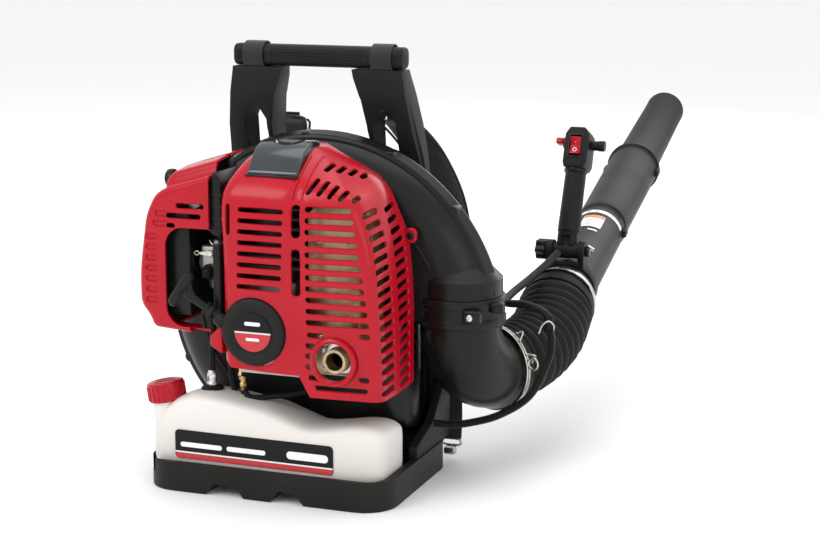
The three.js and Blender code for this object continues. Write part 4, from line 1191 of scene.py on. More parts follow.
# %% Knob, inner case and filter box
knob = turned("cleaner_knob_cap", [(0, 0), (6, 0), (6.5, 2), (10.4, 3), (10.6, 6), (10, 10.4), (8, 12),
                                   (0, 12)],
              P(-128.3, -46, 350), -X, 48, 0.4)
grips = []
for i in range(8):
    turn = 2 * math.pi * i / 8
    grips.append(turned("grip_cut", [(0, 0), (1.6, 0), (1.6, 14), (0, 14)],
                        P(-130.5, -46 + 11.3 * math.cos(turn), 350 + 11.3 * math.sin(turn)), -X, 12))
carve(knob, *grips, quick=True)
done(knob, black, "cleaner_knob", ["cleaner_knob"])
done(softened("cleaner_case_box", "air_cleaner_case", 3, 3), black, nodes=["air_cleaner_case"])
backing = prism("cleaner_backing", [(-94, 196), (-52, 204), (-52, 356), (-66, 362), (-72, 376), (-92, 370),
                                    (-112, 345)],
                "Y", -30, -14, 3, 3)
done(backing, black)
duct_block = prism("intake_elbow", [(-66, 296), (-50, 292), (-50, 352), (-60, 368), (-66, 360)], "Y", -92,
                   -30, 4, 4)
done(duct_block, black)
ribs = [box("elbow_rib", -66.5, -49.5, -93, -90.5, 300 + 13 * i, 304 + 13 * i, 0.8) for i in range(4)]
done(joined("intake_ribs", *ribs), black)

# %% Carburettor
carb_parts = [
    box("carb_body", -87.5, -56, -71.5, -40, 241, 279.5, 3, 3),
    turned("carb_bowl", [(0, 0), (11, 0), (13.6, 3), (13.6, 13), (14, 14), (0, 14)], P(-70, -55, 228.3), Z,
           36, 0.4),
    turned("carb_throat", [(9, 0), (13, 0), (13, 43), (9, 43), (9, 0)], P(-91.5, -55, 260), X, 40, 0.4),
    turned("carb_tower", [(0, 0), (6, 0), (6, 6), (4, 7.5), (0, 7.5)], P(-70, -62, 279), Z, 28, 0.4),
    box("carb_ear", -82, -60, -74.5, -70, 252, 258, 1.4),
    turned("carb_jet", [(0, 0), (3.4, 0), (3.4, 5), (2.2, 6), (0, 6)], P(-62, -71, 272), -Y, 18, 0.3),
    turned("carb_jet", [(0, 0), (2.6, 0), (2.6, 7), (1.6, 8), (0, 8)], P(-62, -71, 264), -Y, 18, 0.3),
]
done(joined("carburettor_casting", *carb_parts), cast, nodes=["carburettor"])
spring = [P(-64 + 3.1 * math.cos(i * 0.7), -75 + i * 0.02,
            243 + 3.1 * math.sin(i * 0.7)) for i in range(46)]
done(tube("throttle_spring", spring, 0.5, 3), zinc, angle=60)
done(tube("throttle_rod", smooth_path([(-58, -74, 286), (-63, -77, 281), (-70, -77, 283), (-74, -75, 287)],
                                      16), 1.0, 4),
     zinc, angle=60)
bulb = turned("primer_dome", [(0, 0), (9, 0), (9, 2.6), (7.6, 3.4), (7.2, 6.5), (5.6, 9.6), (3, 11.4),
                              (0, 12)],
              P(-76, -72.3, 250), -Y, 40, 0.3)
done(bulb, rubber, "primer_bulb", ["primer_bulb"])
lever = prism("choke_arm", [(-74, 267.6), (-71, 269), (-70, 271), (-71, 273.6), (-74, 274.6), (-80, 273.4),
                            (-88, 272.6),
                            (-88, 269.6), (-80, 268.8)], "Y", -76, -73.8, 0.5)
loop = [P(-90.6 + 2.9 * math.cos(i / 20 * 2 * math.pi), -74.9,
          271 + 2.3 * math.sin(i / 20 * 2 * math.pi)) for i in range(20)]
ring = tube("choke_ring", loop, 0.9, 4, closed=True)
hub = turned("choke_hub", [(0, 0), (4, 0), (4, 3), (3, 4), (0, 4)], P(-74, -72.3, 271), -Y, 24, 0.3)
done(joined("choke_lever_arm", lever, ring, hub), zinc, "choke_lever", ["choke_lever"])
shield = prism("insulator_plate", [(-104, 205.5), (-20, 205.5), (-20, 291.5), (-98, 291.5), (-104, 285.5)],
               "X", -49, -46, 1.2)
done(shield, black, nodes=["heat_shield"])
done(box("insulator_lip", -56, -46.4, -105.5, -101, 208, 289, 2.2, 3), black)


# %% [markdown]
# ## Fuel tank
# A blown tank has no sharp edge anywhere: the hot plastic stretches into soft shoulders.
# Its sections across the machine are rounded rectangles that shrink at both ends, so a grid
# is rolled round them, and the height of the top is a smooth curve along the tank.

# %% Tank body
TANK_LEFT, TANK_RIGHT, TANK_FRONT, TANK_BACK, TANK_LOW = -146, 139, -99, -9, 17.6
TANK_TOP = [(-146, 84), (-130, 95), (-110, 106), (-86, 111.5), (-60, 110), (-30, 106.5), (-4, 102.5),
            (14, 97), (28, 90.5), (42, 86.5), (58, 86), (80, 89), (104, 93.5), (122, 95), (139, 93)]


def power(value, exponent):
    return math.copysign(abs(value) ** exponent, value)


def tank_place(along_share, round_share):
    turn = math.pi * along_share
    x = (TANK_LEFT + TANK_RIGHT) / 2 - (TANK_RIGHT - TANK_LEFT) / 2 * power(math.cos(turn), 0.3)
    shrink = max(math.sin(turn), 0) ** 0.3
    top = eased(TANK_TOP, x)[0]
    lean = 2 * math.pi * round_share
    y = (TANK_FRONT + TANK_BACK) / 2 + (TANK_BACK - TANK_FRONT) / 2 * shrink * power(math.cos(lean), 0.3)
    fall = 12 * max(y + 66, 0) ** 1.6 / 57 ** 1.6
    rise = power(math.sin(lean), 0.34)
    middle = (top + TANK_LOW) / 2
    reach = middle - TANK_LOW if rise < 0 else top - fall - middle
    return P(x, y, middle + reach * rise * (0.25 + 0.75 * shrink))


tank = rolled("fuel_tank_body", tank_place, 120, 72)
done(tank, milky, nodes=["fuel_tank"], angle=70)
CAP_AT = P(-131.2, -76, 97)
CAP_AXIS = Vector((-0.16, 0, 1)).normalized()
neck = turned("tank_neck", [(0, 4), (17.6, 4), (17.6, -4), (18.6, -14), (19.0, -40), (0, -40)], CAP_AT,
              CAP_AXIS, 48)
done(neck, milky, angle=60)


# %% Badge on the tank
def plate_on_tank(name, x0, x1, drop, low, high, lift, material, corner):
    """A thin plate that follows the tank's front between two places."""
    outline = rounded(x0, x1, low, high, corner, 5)
    piece = prism(name, outline, "Y", TANK_FRONT - lift, TANK_FRONT - lift + 0.7)
    for vertex in piece.data.vertices:
        x, y, z = vertex.co / MM
        vertex.co.z = (z + drop * (x - x0)) * MM
    done(piece, material, smooth=False)


PLATE_LEFT, PLATE_RIGHT = -111, 84
plate_on_tank("tank_badge", PLATE_LEFT, PLATE_RIGHT, -0.004, 36.5, 70, 0.5, badge_black, 5)
plate_on_tank("tank_badge_red", PLATE_LEFT + 0.4, PLATE_RIGHT - 0.4, -0.004, 36.8, 43.2, 0.8, badge_red, 3)
plate_on_tank("tank_badge_line", PLATE_LEFT + 0.2, PLATE_RIGHT - 0.2, -0.004, 43.4, 45.0, 0.9, badge_white,
              0.6)
for x0, x1 in ((-104, -52), (-46, 2)):
    plate_on_tank("tank_badge_mark", x0, x1, -0.004, 50.5, 56, 0.9, badge_white, 2.6)
plate_on_tank("tank_badge_mark", 28, 78, -0.004, 49.5, 58.5, 0.9, badge_white, 4.2)

# %% Filler cap with its grip ribs
cap_profile = [(0, 22), (19.4, 22), (20.8, 21.2), (21.2, 19.5), (21.2, 1.4), (20.6, 0), (18.2, 0),
               (18.2, 12), (0, 12)]
filler_cap = turned("filler_cap", cap_profile, CAP_AT, CAP_AXIS, 64, 0.3)
turn = Vector((0, 0, 1)).rotation_difference(CAP_AXIS).to_matrix().to_4x4()
ribs = []
for i in range(20):
    lean = 2 * math.pi * i / 20
    rib = box("cap_rib", -1.5, 1.5, -0.9, 0.9, 1.5, 18.5, 0.7)
    around = Matrix.Rotation(lean, 4, "Z") @ Matrix.Translation(P(20.7, 0, 0))
    rib.matrix_world = Matrix.Translation(CAP_AT) @ turn @ around
    ribs.append(rib)
dish = turned("cap_dish", [(12.4, 22), (14.8, 22), (14.6, 22.7), (12.6, 22.7), (12.4, 22)], CAP_AT,
              CAP_AXIS, 48)
bar = box("cap_bar", -13, 13, -2.2, 2.2, 21.6, 23.0, 0.7)
bar.matrix_world = Matrix.Translation(CAP_AT) @ turn @ Matrix.Rotation(0.5, 4, "Z")
done(joined("filler_cap", filler_cap, dish, bar, *ribs), red, "fuel_cap", ["fuel_cap"], angle=40)

# %% Grommet, fuel lines and fittings
grommet = turned("line_grommet", [(0, 0), (6.7, 0), (6.7, 4), (12.8, 1.5), (13, 3.4), (9.5, 6.2), (6.8, 7),
                                  (0, 7)],
                 P(-82, -60, 108.6), Z, 40, 0.3)
fitting = turned("line_fitting", [(0, 0), (6.2, 0), (6.4, 3), (5.2, 5), (5.6, 9), (6.0, 12), (5.2, 14.5),
                                  (4.2, 18), (0, 18)],
                 P(-82, -60, 114.5), Z, 32, 0.3)
done(grommet, rubber, nodes=["tank_grommet"])
done(fitting, badge_silver)
line_path = smooth_path([(-82, -60, 130), (-82, -58, 166), (-80, -56, 196), (-73, -55, 225)], 40)
done(tube("fuel_hose", line_path, 3.6, 7), rubber, nodes=["fuel_line"], angle=60)
for points, radius in ((((-44, -58, 104), (-44.5, -58, 122), (-43, -52, 150)), 2.6),
                       (((-50, -50, 103), (-51, -50, 128), (-48, -44, 160)), 2.2)):
    done(tube("return_line", smooth_path(points, 18), radius, 5), rubber, angle=60)
for place in ((-44, -58.2, 112), (-50, -50.2, 122)):
    parts = [turned("line_barb", [(0, 0), (3.2, 0), (3.2, 3), (4.3, 4), (4.3, 8), (3.2, 9), (3.2, 14),
                                  (2.6, 16), (0, 16)], P(*place), Z, 6, 0.3)]
    done(joined("brass_fitting", *parts), brass, angle=20)
vent_points = smooth_path([(-57, -50, 98), (-59, -50, 112), (-63, -48, 130), (-64, -40, 160)], 97)
done(tube("vent_tube", vent_points, 4.4, 6, radii=[0.88 + 0.12 * math.cos(i * 1.57) for i in range(97)]),
     corrugated, angle=60)
hose_under = smooth_path([(-40, -64, 113), (-30, -66, 106), (-8, -60, 108), (20, -50, 112), (40, -34, 118)],
                         40)
done(tube("tank_hose", hose_under, 3.4, 6), rubber, angle=60)
print("tank plate", PLATE_RIGHT - PLATE_LEFT, "mm long")


# %% [markdown]
# ## Frame
# The base is a thick tray with three feet, and the back plate rises from it to two legs
# that carry a round bar. All are charcoal mouldings, so every edge is rounded; the packed
# solids already have the right shape and only need that rounding and small fittings.

# %% Base, back plate and bar
done(softened("base_tray", "frame_base", 3.2, 4), charcoal, nodes=["frame_base"])
done(softened("back_plate", "frame_back", 2.2, 3), charcoal, nodes=["frame_back"])
BAR_Y, BAR_Z = 71.5, 483.2
bar_core = prism("bar_core", rounded(59.2, 83.8, 470.8, 495.8, 8.5), "X", -105.8, 105.8, 2.6, 3)
grooves = []
for i in range(5):
    grooves.append(prism("bar_groove", rounded(57.5, 60.2, 475 + 3.6 * i, 476.6 + 3.6 * i, 0.6, 2), "X",
                         -58, 58))
carve(bar_core, *grooves, quick=True)
done(bar_core, charcoal, nodes=["carry_handle"])
knurls = []
for side in (-1, 1):
    for i in range(5):
        mark = box("bar_knurl", -0.8, 0.8, 58.6, 60, 478, 488, 0.4, 1)
        mark.location.x = side * (97.6 + 1.9 * i - 3.8) * MM
        knurls.append(mark)
    knob = turned("bar_end", [(0, 0), (9.5, 0), (9.5, 1.2), (8, 2.2), (0, 2.2)],
                  P(side * 103.6, BAR_Y, BAR_Z), X * side, 36)
    knurls.append(knob)
done(joined("bar_marks", *knurls), charcoal)
rods = [tube("bar_rod", [P(side * 66, 60, 468.6), P(side * 94, 60, 468.6)], 1.7, 4) for side in (-1, 1)]
done(joined("strap_rods", *rods), zinc, angle=60)
for side, label in ((1, "right"), (-1, "left")):
    edge = [(side * 104, 61, 462), (side * 107.5, 68, 440), (side * 112.5, 76, 412),
            (side * 118.5, 86, 376),
            (side * 123, 94, 340)]
    done(tube(f"leg_ridge_{label}", smooth_path(edge, 30), 2.6, 5), charcoal, angle=60)
    mount = turned(f"spring_mount_{label}", [(0, 17.5), (11.6, 17.5), (11.8, 22), (10.4, 24), (11.8, 27),
                                             (10.4, 30),
                                             (11.8, 33), (10.4, 36), (11.8, 39), (10.4, 42), (11.8, 45),
                                             (11.6, 49.5),
                                             (0, 49.5)], P(side * 122, 45, 0), Z, 40)
    done(mount, rubber, nodes=[f"rubber_mount_{label}"])
for x in (-66, -20, 26):
    done(turned("base_dimple", [(0, 0), (1.6, 0), (2.6, -0.5), (3.0, -0.9), (0, -0.9)], P(x, -110.6, 25),
                -Y, 20), charcoal)
for x, z in ((-134, 120), (134, 120), (-134, 300), (134, 300)):
    screw("plate_screw", P(x * 0.87, 108.4, z), Y, 4.0, zinc)

# %% [markdown]
# ## Harness
# The shoulder straps are foam pads in cloth with a webbing tail that loops over the bar and
# a lower webbing that hooks to the base. A pad is blown up as a cloth skin from a flat
# strip, so its crown and its wrinkled edges come from the pressure and not from a formula.


# %% Webbing and pads
def strip_frames(path):
    """For each point of a path, the way along it and the direction out of the strip's face."""
    frames = []
    for i, point in enumerate(path):
        ahead = (path[min(i + 1, len(path) - 1)] - path[max(i - 1, 0)]).normalized()
        frames.append((point, ahead.cross(X).normalized()))
    return frames


def webbing_strip(name, points, half_width, thick=1.8, count=60, closed=False, side=1):
    """Flat webbing across X along a path, with a UV map in metres."""
    path = [P(*p) for p in points] if closed else smooth_path(points, count)
    frames = strip_frames(path)
    reach = [0.0]
    for here, there in zip(path, path[1:]):
        reach.append(reach[-1] + (there - here).length)
    section = [(-1, -1), (-0.96, -1.12), (0.96, -1.12), (1, -1), (1, 1), (0.96, 1.12), (-0.96, 1.12),
               (-1, 1)]

    def place(long_share, round_share):
        point, out = frames[round(long_share * (len(frames) - 1))]
        a, b = section[round(round_share * 8) % 8]
        return point + X * a * half_width * MM + out * b * thick / 2.3 * MM

    piece = rolled(name, place, len(frames) - 1, 8)
    only(piece)
    bpy.ops.object.mode_set(mode="EDIT")
    bpy.ops.mesh.select_all(action="DESELECT")
    bpy.ops.mesh.select_mode(type="EDGE")
    bpy.ops.mesh.select_non_manifold()
    bpy.ops.mesh.edge_face_add()
    bpy.ops.mesh.select_all(action="SELECT")
    bpy.ops.mesh.normals_make_consistent(inside=False)
    bpy.ops.object.mode_set(mode="OBJECT")
    layer = piece.data.uv_layers.active or piece.data.uv_layers.new(name="weave")
    for polygon in piece.data.polygons:
        for k in polygon.loop_indices:
            spot = piece.data.vertices[piece.data.loops[k].vertex_index].co
            near = min(range(len(path)), key=lambda i: (path[i] - spot).length_squared)
            layer.data[k].uv = (spot.x, reach[near])
    return piece


def pad_skin(name, points, half_width, half_thick, count=40, nodes=(), pressure=4.0):
    """A pad along a path: a rounded strip, blown up as cloth and smoothed."""
    path = smooth_path(points, count)
    frames = strip_frames(path)

    def place(long_share, round_share):
        point, out = frames[round(long_share * (count - 1))]
        turn = 2 * math.pi * round_share
        end = math.sin(math.pi * min(max(long_share, 0), 1)) ** 0.22
        a = math.copysign(abs(math.cos(turn)) ** 0.5, math.cos(turn)) * half_width * (0.25 + 0.75 * end)
        b = math.copysign(abs(math.sin(turn)) ** 0.75, math.sin(turn)) * half_thick * end
        return point + X * a * MM + out * b * MM

    piece = rolled(name, place, count - 1, 28)
    only(piece)
    bpy.ops.object.mode_set(mode="EDIT")
    bpy.ops.mesh.select_all(action="DESELECT")
    bpy.ops.mesh.select_mode(type="EDGE")
    bpy.ops.mesh.select_non_manifold()
    bpy.ops.mesh.edge_face_add()
    bpy.ops.mesh.select_all(action="SELECT")
    bpy.ops.mesh.normals_make_consistent(inside=False)
    bpy.ops.object.mode_set(mode="OBJECT")
    return inflated(piece, pressure)


def inflated(piece, pressure, size=5.0):
    piece.data.remesh_voxel_size = size * MM
    only(piece)
    bpy.ops.object.voxel_remesh()
    bpy.ops.object.modifier_add(type="CLOTH")
    settings = piece.modifiers[-1].settings
    settings.use_pressure = True
    settings.uniform_pressure_force = pressure
    settings.effector_weights.gravity = 0
    settings.tension_stiffness = 25
    settings.bending_stiffness = 2.0
    scene = bpy.context.scene
    start = [vertex.co.copy() for vertex in piece.data.vertices]
    for number in range(1, 15):
        scene.frame_set(number)
    bpy.ops.object.modifier_apply(modifier=piece.modifiers[-1].name)
    scene.frame_set(1)
    for vertex, was in zip(piece.data.vertices, start):
        moved = vertex.co - was
        if moved.length > 5 * MM:
            vertex.co = was + moved.normalized() * 5 * MM
    modify(piece, "SUBSURF", levels=1, render_levels=1)
    only(piece)
    bpy.ops.object.mode_set(mode="EDIT")
    bpy.ops.mesh.select_all(action="SELECT")
    bpy.ops.uv.cube_project(cube_size=1.0, scale_to_bounds=False, correct_aspect=False)
    bpy.ops.object.mode_set(mode="OBJECT")
    return piece


def adjuster(place, tilt):
    """A three-bar buckle that the webbing threads through."""
    buckle = prism("strap_buckle", rounded(-17, 17, -9, 9, 3.5, 4), "Z", -1.6, 1.6, 0.8)
    gaps = [prism("gap", rounded(-13.2, 13.2, low, low + 4.4, 1.2, 3), "Z", -4, 4) for low in (1.6, -6)]
    carve(buckle, *gaps, quick=True)
    buckle.location = place
    buckle.rotation_euler = (math.radians(tilt), 0, 0)
    return buckle


# %% The harness, right and left
LOOP = [(80, 71.5 + 15.2 * math.cos(t), 483.2 + 15.4 * math.sin(t)) for t in
        [math.radians(-75 + 330 * i / 30) for i in range(31)]]
for label in ("right", "left"):
    side = 1 if label == "right" else -1
    pad = pad_skin(f"shoulder_pad_{label}", [(side * x, y, z) for x, y, z in (
        (66, 127, 402), (74, 151, 394), (92, 176, 360), (112, 188, 306), (124, 183, 242), (128, 164, 178))],
        26, 5.5)
    done(pad, cloth, nodes=[f"shoulder_strap_{label}"], angle=80)
    piping = []
    for edge in (-1, 1):
        line = [(side * x + edge * 25.5, y, z) for x, y, z in (
            (68, 130, 401), (75, 152, 392), (92, 176.5, 358), (112, 188, 306), (124, 183, 244),
            (127, 167, 190))]
        piping.append(tube("pad_piping", smooth_path(line, 44), 1.5, 4))
    done(joined(f"pad_binding_{label}", *piping), webbing, angle=60)
    strips = [
        webbing_strip("bar_loop", [(side * x, y, z) for x, y, z in LOOP], 12.5, closed=True),
        webbing_strip("tail", [(side * x, y, z) for x, y, z in (
            (80, 86.5, 479), (80, 90, 466), (80, 103, 437), (78, 116, 410), (72, 128, 402))], 12.5),
        webbing_strip("pad_web", [(side * x, y, z) for x, y, z in (
            (70, 140, 408), (80, 163, 388), (96, 184.5, 352), (114, 196, 306), (124, 190, 246),
            (128, 172, 184),
            (130, 158, 160))], 12.5, 1.6),
        webbing_strip("lower_web", [(side * x, y, z) for x, y, z in (
            (129, 158, 160), (134, 150, 130), (141, 136, 84), (145, 126, 48), (145.5, 121.5, 25))], 12.5),
    ]
    done(joined(f"strap_webbing_{label}", *strips), webbing, nodes=[f"lower_strap_{label}"], angle=40)
    adjusters = [adjuster(P(side * 79, 105, 436), 118), adjuster(P(side * 133.5, 150.5, 140), 98)]
    done(joined(f"strap_adjusters_{label}", *adjusters), black, angle=30)
    ring = [P(side * 146 + 11.5 * side * a, 122, 20.2 + 4.0 * b) for a, b in
            [(math.copysign(abs(math.cos(t)) ** 0.5, math.cos(t)),
              math.copysign(abs(math.sin(t)) ** 0.6, math.sin(t)))
             for t in [2 * math.pi * i / 32 for i in range(32)]]]
    hook = [tube("hook_ring", ring, 1.5, 4, closed=True),
            box("hook_tongue", side * 146 - 6.8, side * 146 + 6.8, 110.6, 121, 7, 15.6, 1.5, 3)]
    done(joined(f"hook_{label}", *hook), zinc, nodes=[f"strap_hook_{label}"], angle=40)

back_cushion = box("back_cushion", -93, 93, 109.6, 131, 112.5, 317.5, 8, 4)
back_cushion = inflated(back_cushion, 3.0, 6.0)
for vertex in back_cushion.data.vertices:
    vertex.co.y = max(vertex.co.y, 108.6 * MM)
done(back_cushion, cloth, nodes=["back_pad"], angle=80)
frames = [[(x, 131.6, z) for x, z in rounded(-84 + inset, 84 - inset, 120 + inset, 310 - inset, 16,
                                             5)] for inset in (0, 3)]
done(tube("cushion_seam", [P(*p) for p in frames[1]], 0.9, 3, closed=True), webbing, angle=60)
print("harness:", "pads", round(pad.dimensions.z, 3), "m tall")


# %% [markdown]
# ## Pipes and labels
# Three tapered tubes push together and lock with a turn: a raised ring and two lugs mark
# each lock. They share one axis, so each is a spun profile. The labels are thin curved
# patches just off the surface, with plain bars where print would be.

# %% Pipes
def pipe_piece(name, profile, nodes, extra=(), material=charcoal):
    whole = turned(name, profile, PIPE_START, PIPE_WAY, 72, 0.3)
    return done(joined(name, whole, *extra), material, "pipe", nodes, angle=30)


PIPE_SIDE = PIPE_WAY.cross(Z).normalized()
PIPE_UP = PIPE_SIDE.cross(PIPE_WAY).normalized()


def around_pipe(distance, radius, degrees):
    """A point on a circle round the pipe; 90 degrees is the top."""
    turn = math.radians(degrees)
    return on_pipe(distance) + (PIPE_SIDE * math.cos(turn) + PIPE_UP * math.sin(turn)) * radius * MM


def lock_lugs(distance, radius):
    """Two lugs and the ramped wires of a bayonet lock."""
    lugs = []
    for degrees in (0, 180):
        lug = box("lock_lug", -4, 4, -9, 9, -5, 5, 2.0, 3)
        way = (around_pipe(distance, 1, degrees) - on_pipe(distance)).normalized()
        turn = Matrix((way, PIPE_WAY, way.cross(PIPE_WAY))).transposed().to_4x4()
        lug.matrix_world = Matrix.Translation(around_pipe(distance, radius + 1.0, degrees)) @ turn
        lugs.append(lug)
    for offset in (4, 9):
        arc = [around_pipe(distance + offset + 3.0 * math.sin(math.pi * i / 24), radius - 0.6,
                           30 + 120 * i / 24)
               for i in range(25)]
        lugs.append(tube("lock_rib", arc, 1.2, 4))
    return lugs


pipe_piece("swivel_tube", [(31.5, -12), (33.5, -12), (34, -10), (34, 5.5), (39.4, 6.6), (40, 8), (40, 16),
                           (39.4, 17.4),
                           (34.2, 18.4), (34.2, 246), (33.6, 250), (31.5, 250), (31.5, -12)],
                           ["swivel_pipe"],
           lock_lugs(236, 34.2))
pipe_piece("middle_tube", [(31.8, 250.4), (34.6, 250.4), (35.2, 253), (34.8, 262), (36, 470), (36.2, 487.4),
                           (38.6, 488.6),
                           (39, 490), (39, 494), (38.6, 495.4), (36.2, 496.6), (36, 499.9), (33.4, 499.9),
                           (31.8, 250.4)], ["middle_pipe"], lock_lugs(478, 36.2))
pipe_piece("nozzle_tube", [(28.8, 500.4), (31.3, 500.4), (31.5, 503), (29.4, 764), (29.9, 765),
                           (29.9, 767.6), (29.3, 768.3),
                           (26.5, 768.3), (28.8, 500.4)], ["nozzle_pipe"])
seams = []
for degrees in (2, 182):
    for low, high, radius, growth in ((20, 240, 34.2, 0.0), (265, 470, 34.95, 0.0051)):
        line = [around_pipe(low + (high - low) * i / 2, radius + growth * (high - low) * i / 2, degrees)
                for i in range(3)]
        seams.append(tube("mould_line", line, 0.35, 2))
done(joined("mould_lines", *seams), charcoal, "pipe", angle=60)


def pipe_patch(name, low, high, start, end, radius, material):
    """A thin patch that follows the pipe, between two places and two angles."""
    piece = rolled(name, lambda a, b: around_pipe(low + (high - low) * a, radius,
                                                  start + (end - start) * b), 6, 24)
    modify(piece, "SOLIDIFY", thickness=0.25 * MM, offset=0)
    return done(piece, material, "pipe", angle=50)


pipe_patch("label_band", 218, 227, 15, 165, 34.55, badge_white)
for degrees in (40, 62, 84, 104, 124, 142):
    pipe_patch("band_mark", 220, 225, degrees, degrees + 7, 34.75, badge_silver)
pipe_patch("label_plate", 168, 208, 62, 112, 34.5, badge_white)
pipe_patch("label_heading", 199, 207, 62.6, 111.4, 34.72, badge_amber)
for i in range(4):
    pipe_patch("label_line", 174 + 5.6 * i, 175.6 + 5.6 * i, 67, 107 - 6 * (i % 2), 34.72, badge_silver)
pipe_patch("mark_bar", 156, 160, 66, 88, 34.5, badge_white)
pipe_patch("mark_stripe", 96, 102, 52, 88, 34.5, badge_red)
pipe_patch("mark_stripe_light", 104, 108, 52, 84, 34.5, badge_white)

# %% [markdown]
# ## Control handle
# The handle slides along the pipe on a split ring, tilts on a bolt with a lobed knob, and
# carries the throttle. Everything above the pivot is drawn upright at the origin and then
# leaned over together.

# %% Clamp, bolt and knob
clamp = softened("handle_clamp_body", "handle_clamp", 1.2, 2)
done(clamp, charcoal, "handle_clamp", ["handle_clamp"], angle=35)
teeth = []
for x in (-16.9, 16.9):
    for i in range(24):
        turn = 2 * math.pi * i / 24
        tooth = box("tooth", -0.7, 0.7, -0.9, 0.9, -0.9, 0.9, 0.3, 1)
        tooth.location = PIVOT + P(x, 12.2 * math.cos(turn), 12.2 * math.sin(turn))
        tooth.rotation_euler = (turn, 0, 0)
        teeth.append(tooth)
done(joined("clamp_teeth", *teeth), charcoal, "handle_clamp")
knob_parts = [turned("bolt", [(0, 25.3), (7, 25.3), (7, 29), (6, 30.3), (0, 30.3)], PIVOT, X, 6, 0.5),
              turned("bolt_shank", [(0, 0), (4, 0), (4, 64), (0, 64)], PIVOT + P(-38, 0, 0), X, 24)]
lobes = prism("knob_lobes", [((12.2 + 1.4 * math.cos(6 * t)) * math.cos(t),
                              (12.2 + 1.4 * math.cos(6 * t)) * math.sin(t))
                             for t in [2 * math.pi * i / 60 for i in range(60)]], "X", -39, -26, 1.6, 3)
lobes.location = PIVOT
hubcap = turned("knob_hub", [(0, 0), (6, 0), (5.4, 1.2), (0, 1.5)], PIVOT + P(-38.4, 0, 0), -X, 32)
done(joined("clamp_bolt_and_knob", *knob_parts, lobes, hubcap), black, "clamp_knob", ["clamp_knob"],
     angle=35)

# %% Grip, head, switch, levers and trigger
done(softened("handle_grip_body", "handle_grip", 1.6, 3), charcoal, "handle", ["handle_grip"], angle=40)
LEAN_FRAME = Matrix((X, LEAN.cross(X), LEAN)).transposed().to_4x4()


def leaned(piece):
    """Moves a piece drawn upright at the origin to the leaning handle."""
    only(piece)
    piece.matrix_world = Matrix.Translation(PIVOT) @ LEAN_FRAME
    bpy.ops.object.transform_apply(location=True, rotation=True, scale=True)
    return piece


head = prism("control_head_body", [(-13, 105), (-15, 112), (-14.8, 149), (-9.5, 158), (10, 158),
                                   (15.9, 150), (15.9, 112),
                                   (13, 105)], "Y", -17, 20, 2.4, 3)
carve(head, box("pocket", -8.2, 8.2, -22, -10, 118.6, 147.4, 1.0))
carve(head, box("pocket", -7, 7, 10, 26, 100, 139, 1.0))
done(leaned(head), charcoal, "handle", ["control_head"], angle=40)
joint_line = leaned(turned("grip_joint", [(13.9, 26.2), (14.3, 26.6), (14.3, 27.8), (13.9, 28.2)],
                           P(0, 0, 0), Z, 56))
collar = leaned(turned("grip_collar", [(13, 100), (14.6, 101), (15.2, 103), (15.0, 104.8), (13, 104.8),
                                       (13, 100)],
                       P(0, 0, 0), Z, 56))
done(joined("grip_rings", joint_line, collar), black, "handle", angle=30)
rocker = leaned(prism("rocker", [(-19, 122), (-16, 133), (-19.5, 144.5), (-12, 143), (-12, 123)], "X", -7,
                      7, 1.2, 3))
done(rocker, red, "stop_switch", ["stop_switch"], angle=30)
marks = [leaned(box("rocker_mark", -0.8, 0.8, -17.4, -16.4, 137, 141, 0.2, 1)),
         leaned(turned("rocker_mark", [(1.8, 0), (2.6, 0), (2.6, 0.8), (1.8, 0.8), (1.8, 0)],
                       P(0, -17.6, 127.5), -Y, 24))]
done(joined("rocker_marks", *marks), badge_white, "stop_switch")
frame_lip = leaned(prism("switch_frame", rounded(-9.4, 9.4, 117.2, 148.6, 2.4, 4), "Y", -18, -16.6, 0.5))
carve(frame_lip, leaned(prism("switch_gap", rounded(-7.8, 7.8, 119.4, 146.8, 1.6, 4), "Y", -24, -10)),
      quick=True)
done(frame_lip, black, "handle")
tab = leaned(box("speed_tab", -29, -18, -8, 8, 137, 145, 2.2, 4))
disc = leaned(turned("speed_disc", [(0, 15.4), (8, 15.4), (8, 19.4), (7, 20.3), (0, 20.3)], P(0, 2, 140),
                     -X, 36))
done(joined("speed_lever_body", tab, disc), red, "speed_lever", ["speed_lever"], angle=30)
end_cap = leaned(turned("lever_cap_body", [(0, 0), (6.4, 0), (6.4, 9), (7, 10.4), (7, 17), (6, 18),
                                           (0, 18)],
                        P(16.3, 2, 138), X, 12, 0.5))
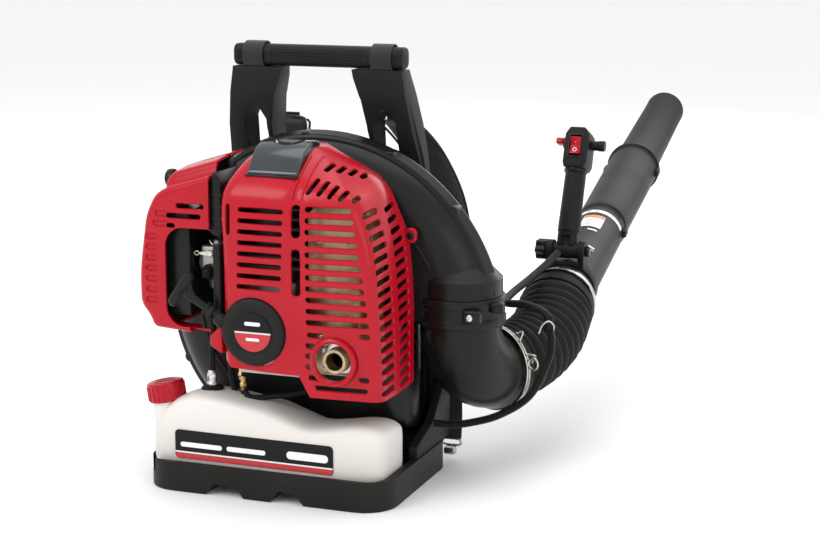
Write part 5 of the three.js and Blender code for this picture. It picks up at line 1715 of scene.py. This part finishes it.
done(end_cap, black, "handle", ["lever_cap"], angle=20)
trigger = leaned(prism("trigger", [(10.5, 134.5), (18, 135), (25, 126), (32, 113), (34, 99), (33, 85),
                                   (28, 73), (25, 85),
                                   (26, 96), (24, 105), (12, 123)], "X", -5.5, 5.5, 1.6, 3))
done(trigger, black, "throttle_trigger", ["throttle_trigger"], angle=30)

# %% [markdown]
# ## Conduit
# The throttle cable and the switch wires run in one corrugated conduit, about half a metre
# long. It leaves the housing's rim low on the right, sags past the elbow and rises to the
# handle. Its upper part has to follow the hose, so the line is split where the two meet.

# %% Conduit
CONDUIT_LOW = [(150.5, 43, 65), (170, 48, 64), (191, 55, 66), (223, 70, 75), (255, 84, 98), (273, 94, 139),
               (276, 96, 160),
               (272, 99, 180)]
CONDUIT_HIGH = [(271.9, 99.1, 180.5), (270.4, 100.2, 188), (261, 103, 195), (240, 109, 199),
                (212, 122, 197),
                (208, 160, 200), (214, 212, 208), (222, 262, 219), (227, 290, 227)]
low_line = smooth_path(CONDUIT_LOW, 421)
ripple = [0.91 + 0.09 * math.cos(i * math.pi / 2) for i in range(421)]
low_tube = tube("conduit_lower_tube", low_line, 4.9, 5, radii=ripple)
done(low_tube, corrugated, nodes=["conduit_lower"], angle=60)
high_line = smooth_path(CONDUIT_HIGH, 160)
high_tube = tube("conduit_upper_tube", high_line, 4.6, 7)
done(high_tube, corrugated, "hose_middle", ["conduit_upper"], angle=60)
for line, name in ((low_line, "lower"), (high_line, "upper")):
    print("conduit", name, round(sum((b - a).length for a, b in zip(line, line[1:])), 3), "m")
sleeve_line = smooth_path([(271, 99.6, 172), (271.8, 99.2, 181), (270.2, 100.4, 189)], 12)
done(tube("conduit_sleeve", sleeve_line, 5.9, 6), rubber, angle=60)
hook_line = [(268, 90, 166), (272, 90.5, 176), (279, 92, 181), (284, 95, 176), (283, 98, 168)]
hook = tube("conduit_hook", [p + P(-6, 1.5, 4) for p in smooth_path(hook_line, 30)], 1.1, 4)
done(hook, zinc, angle=60)
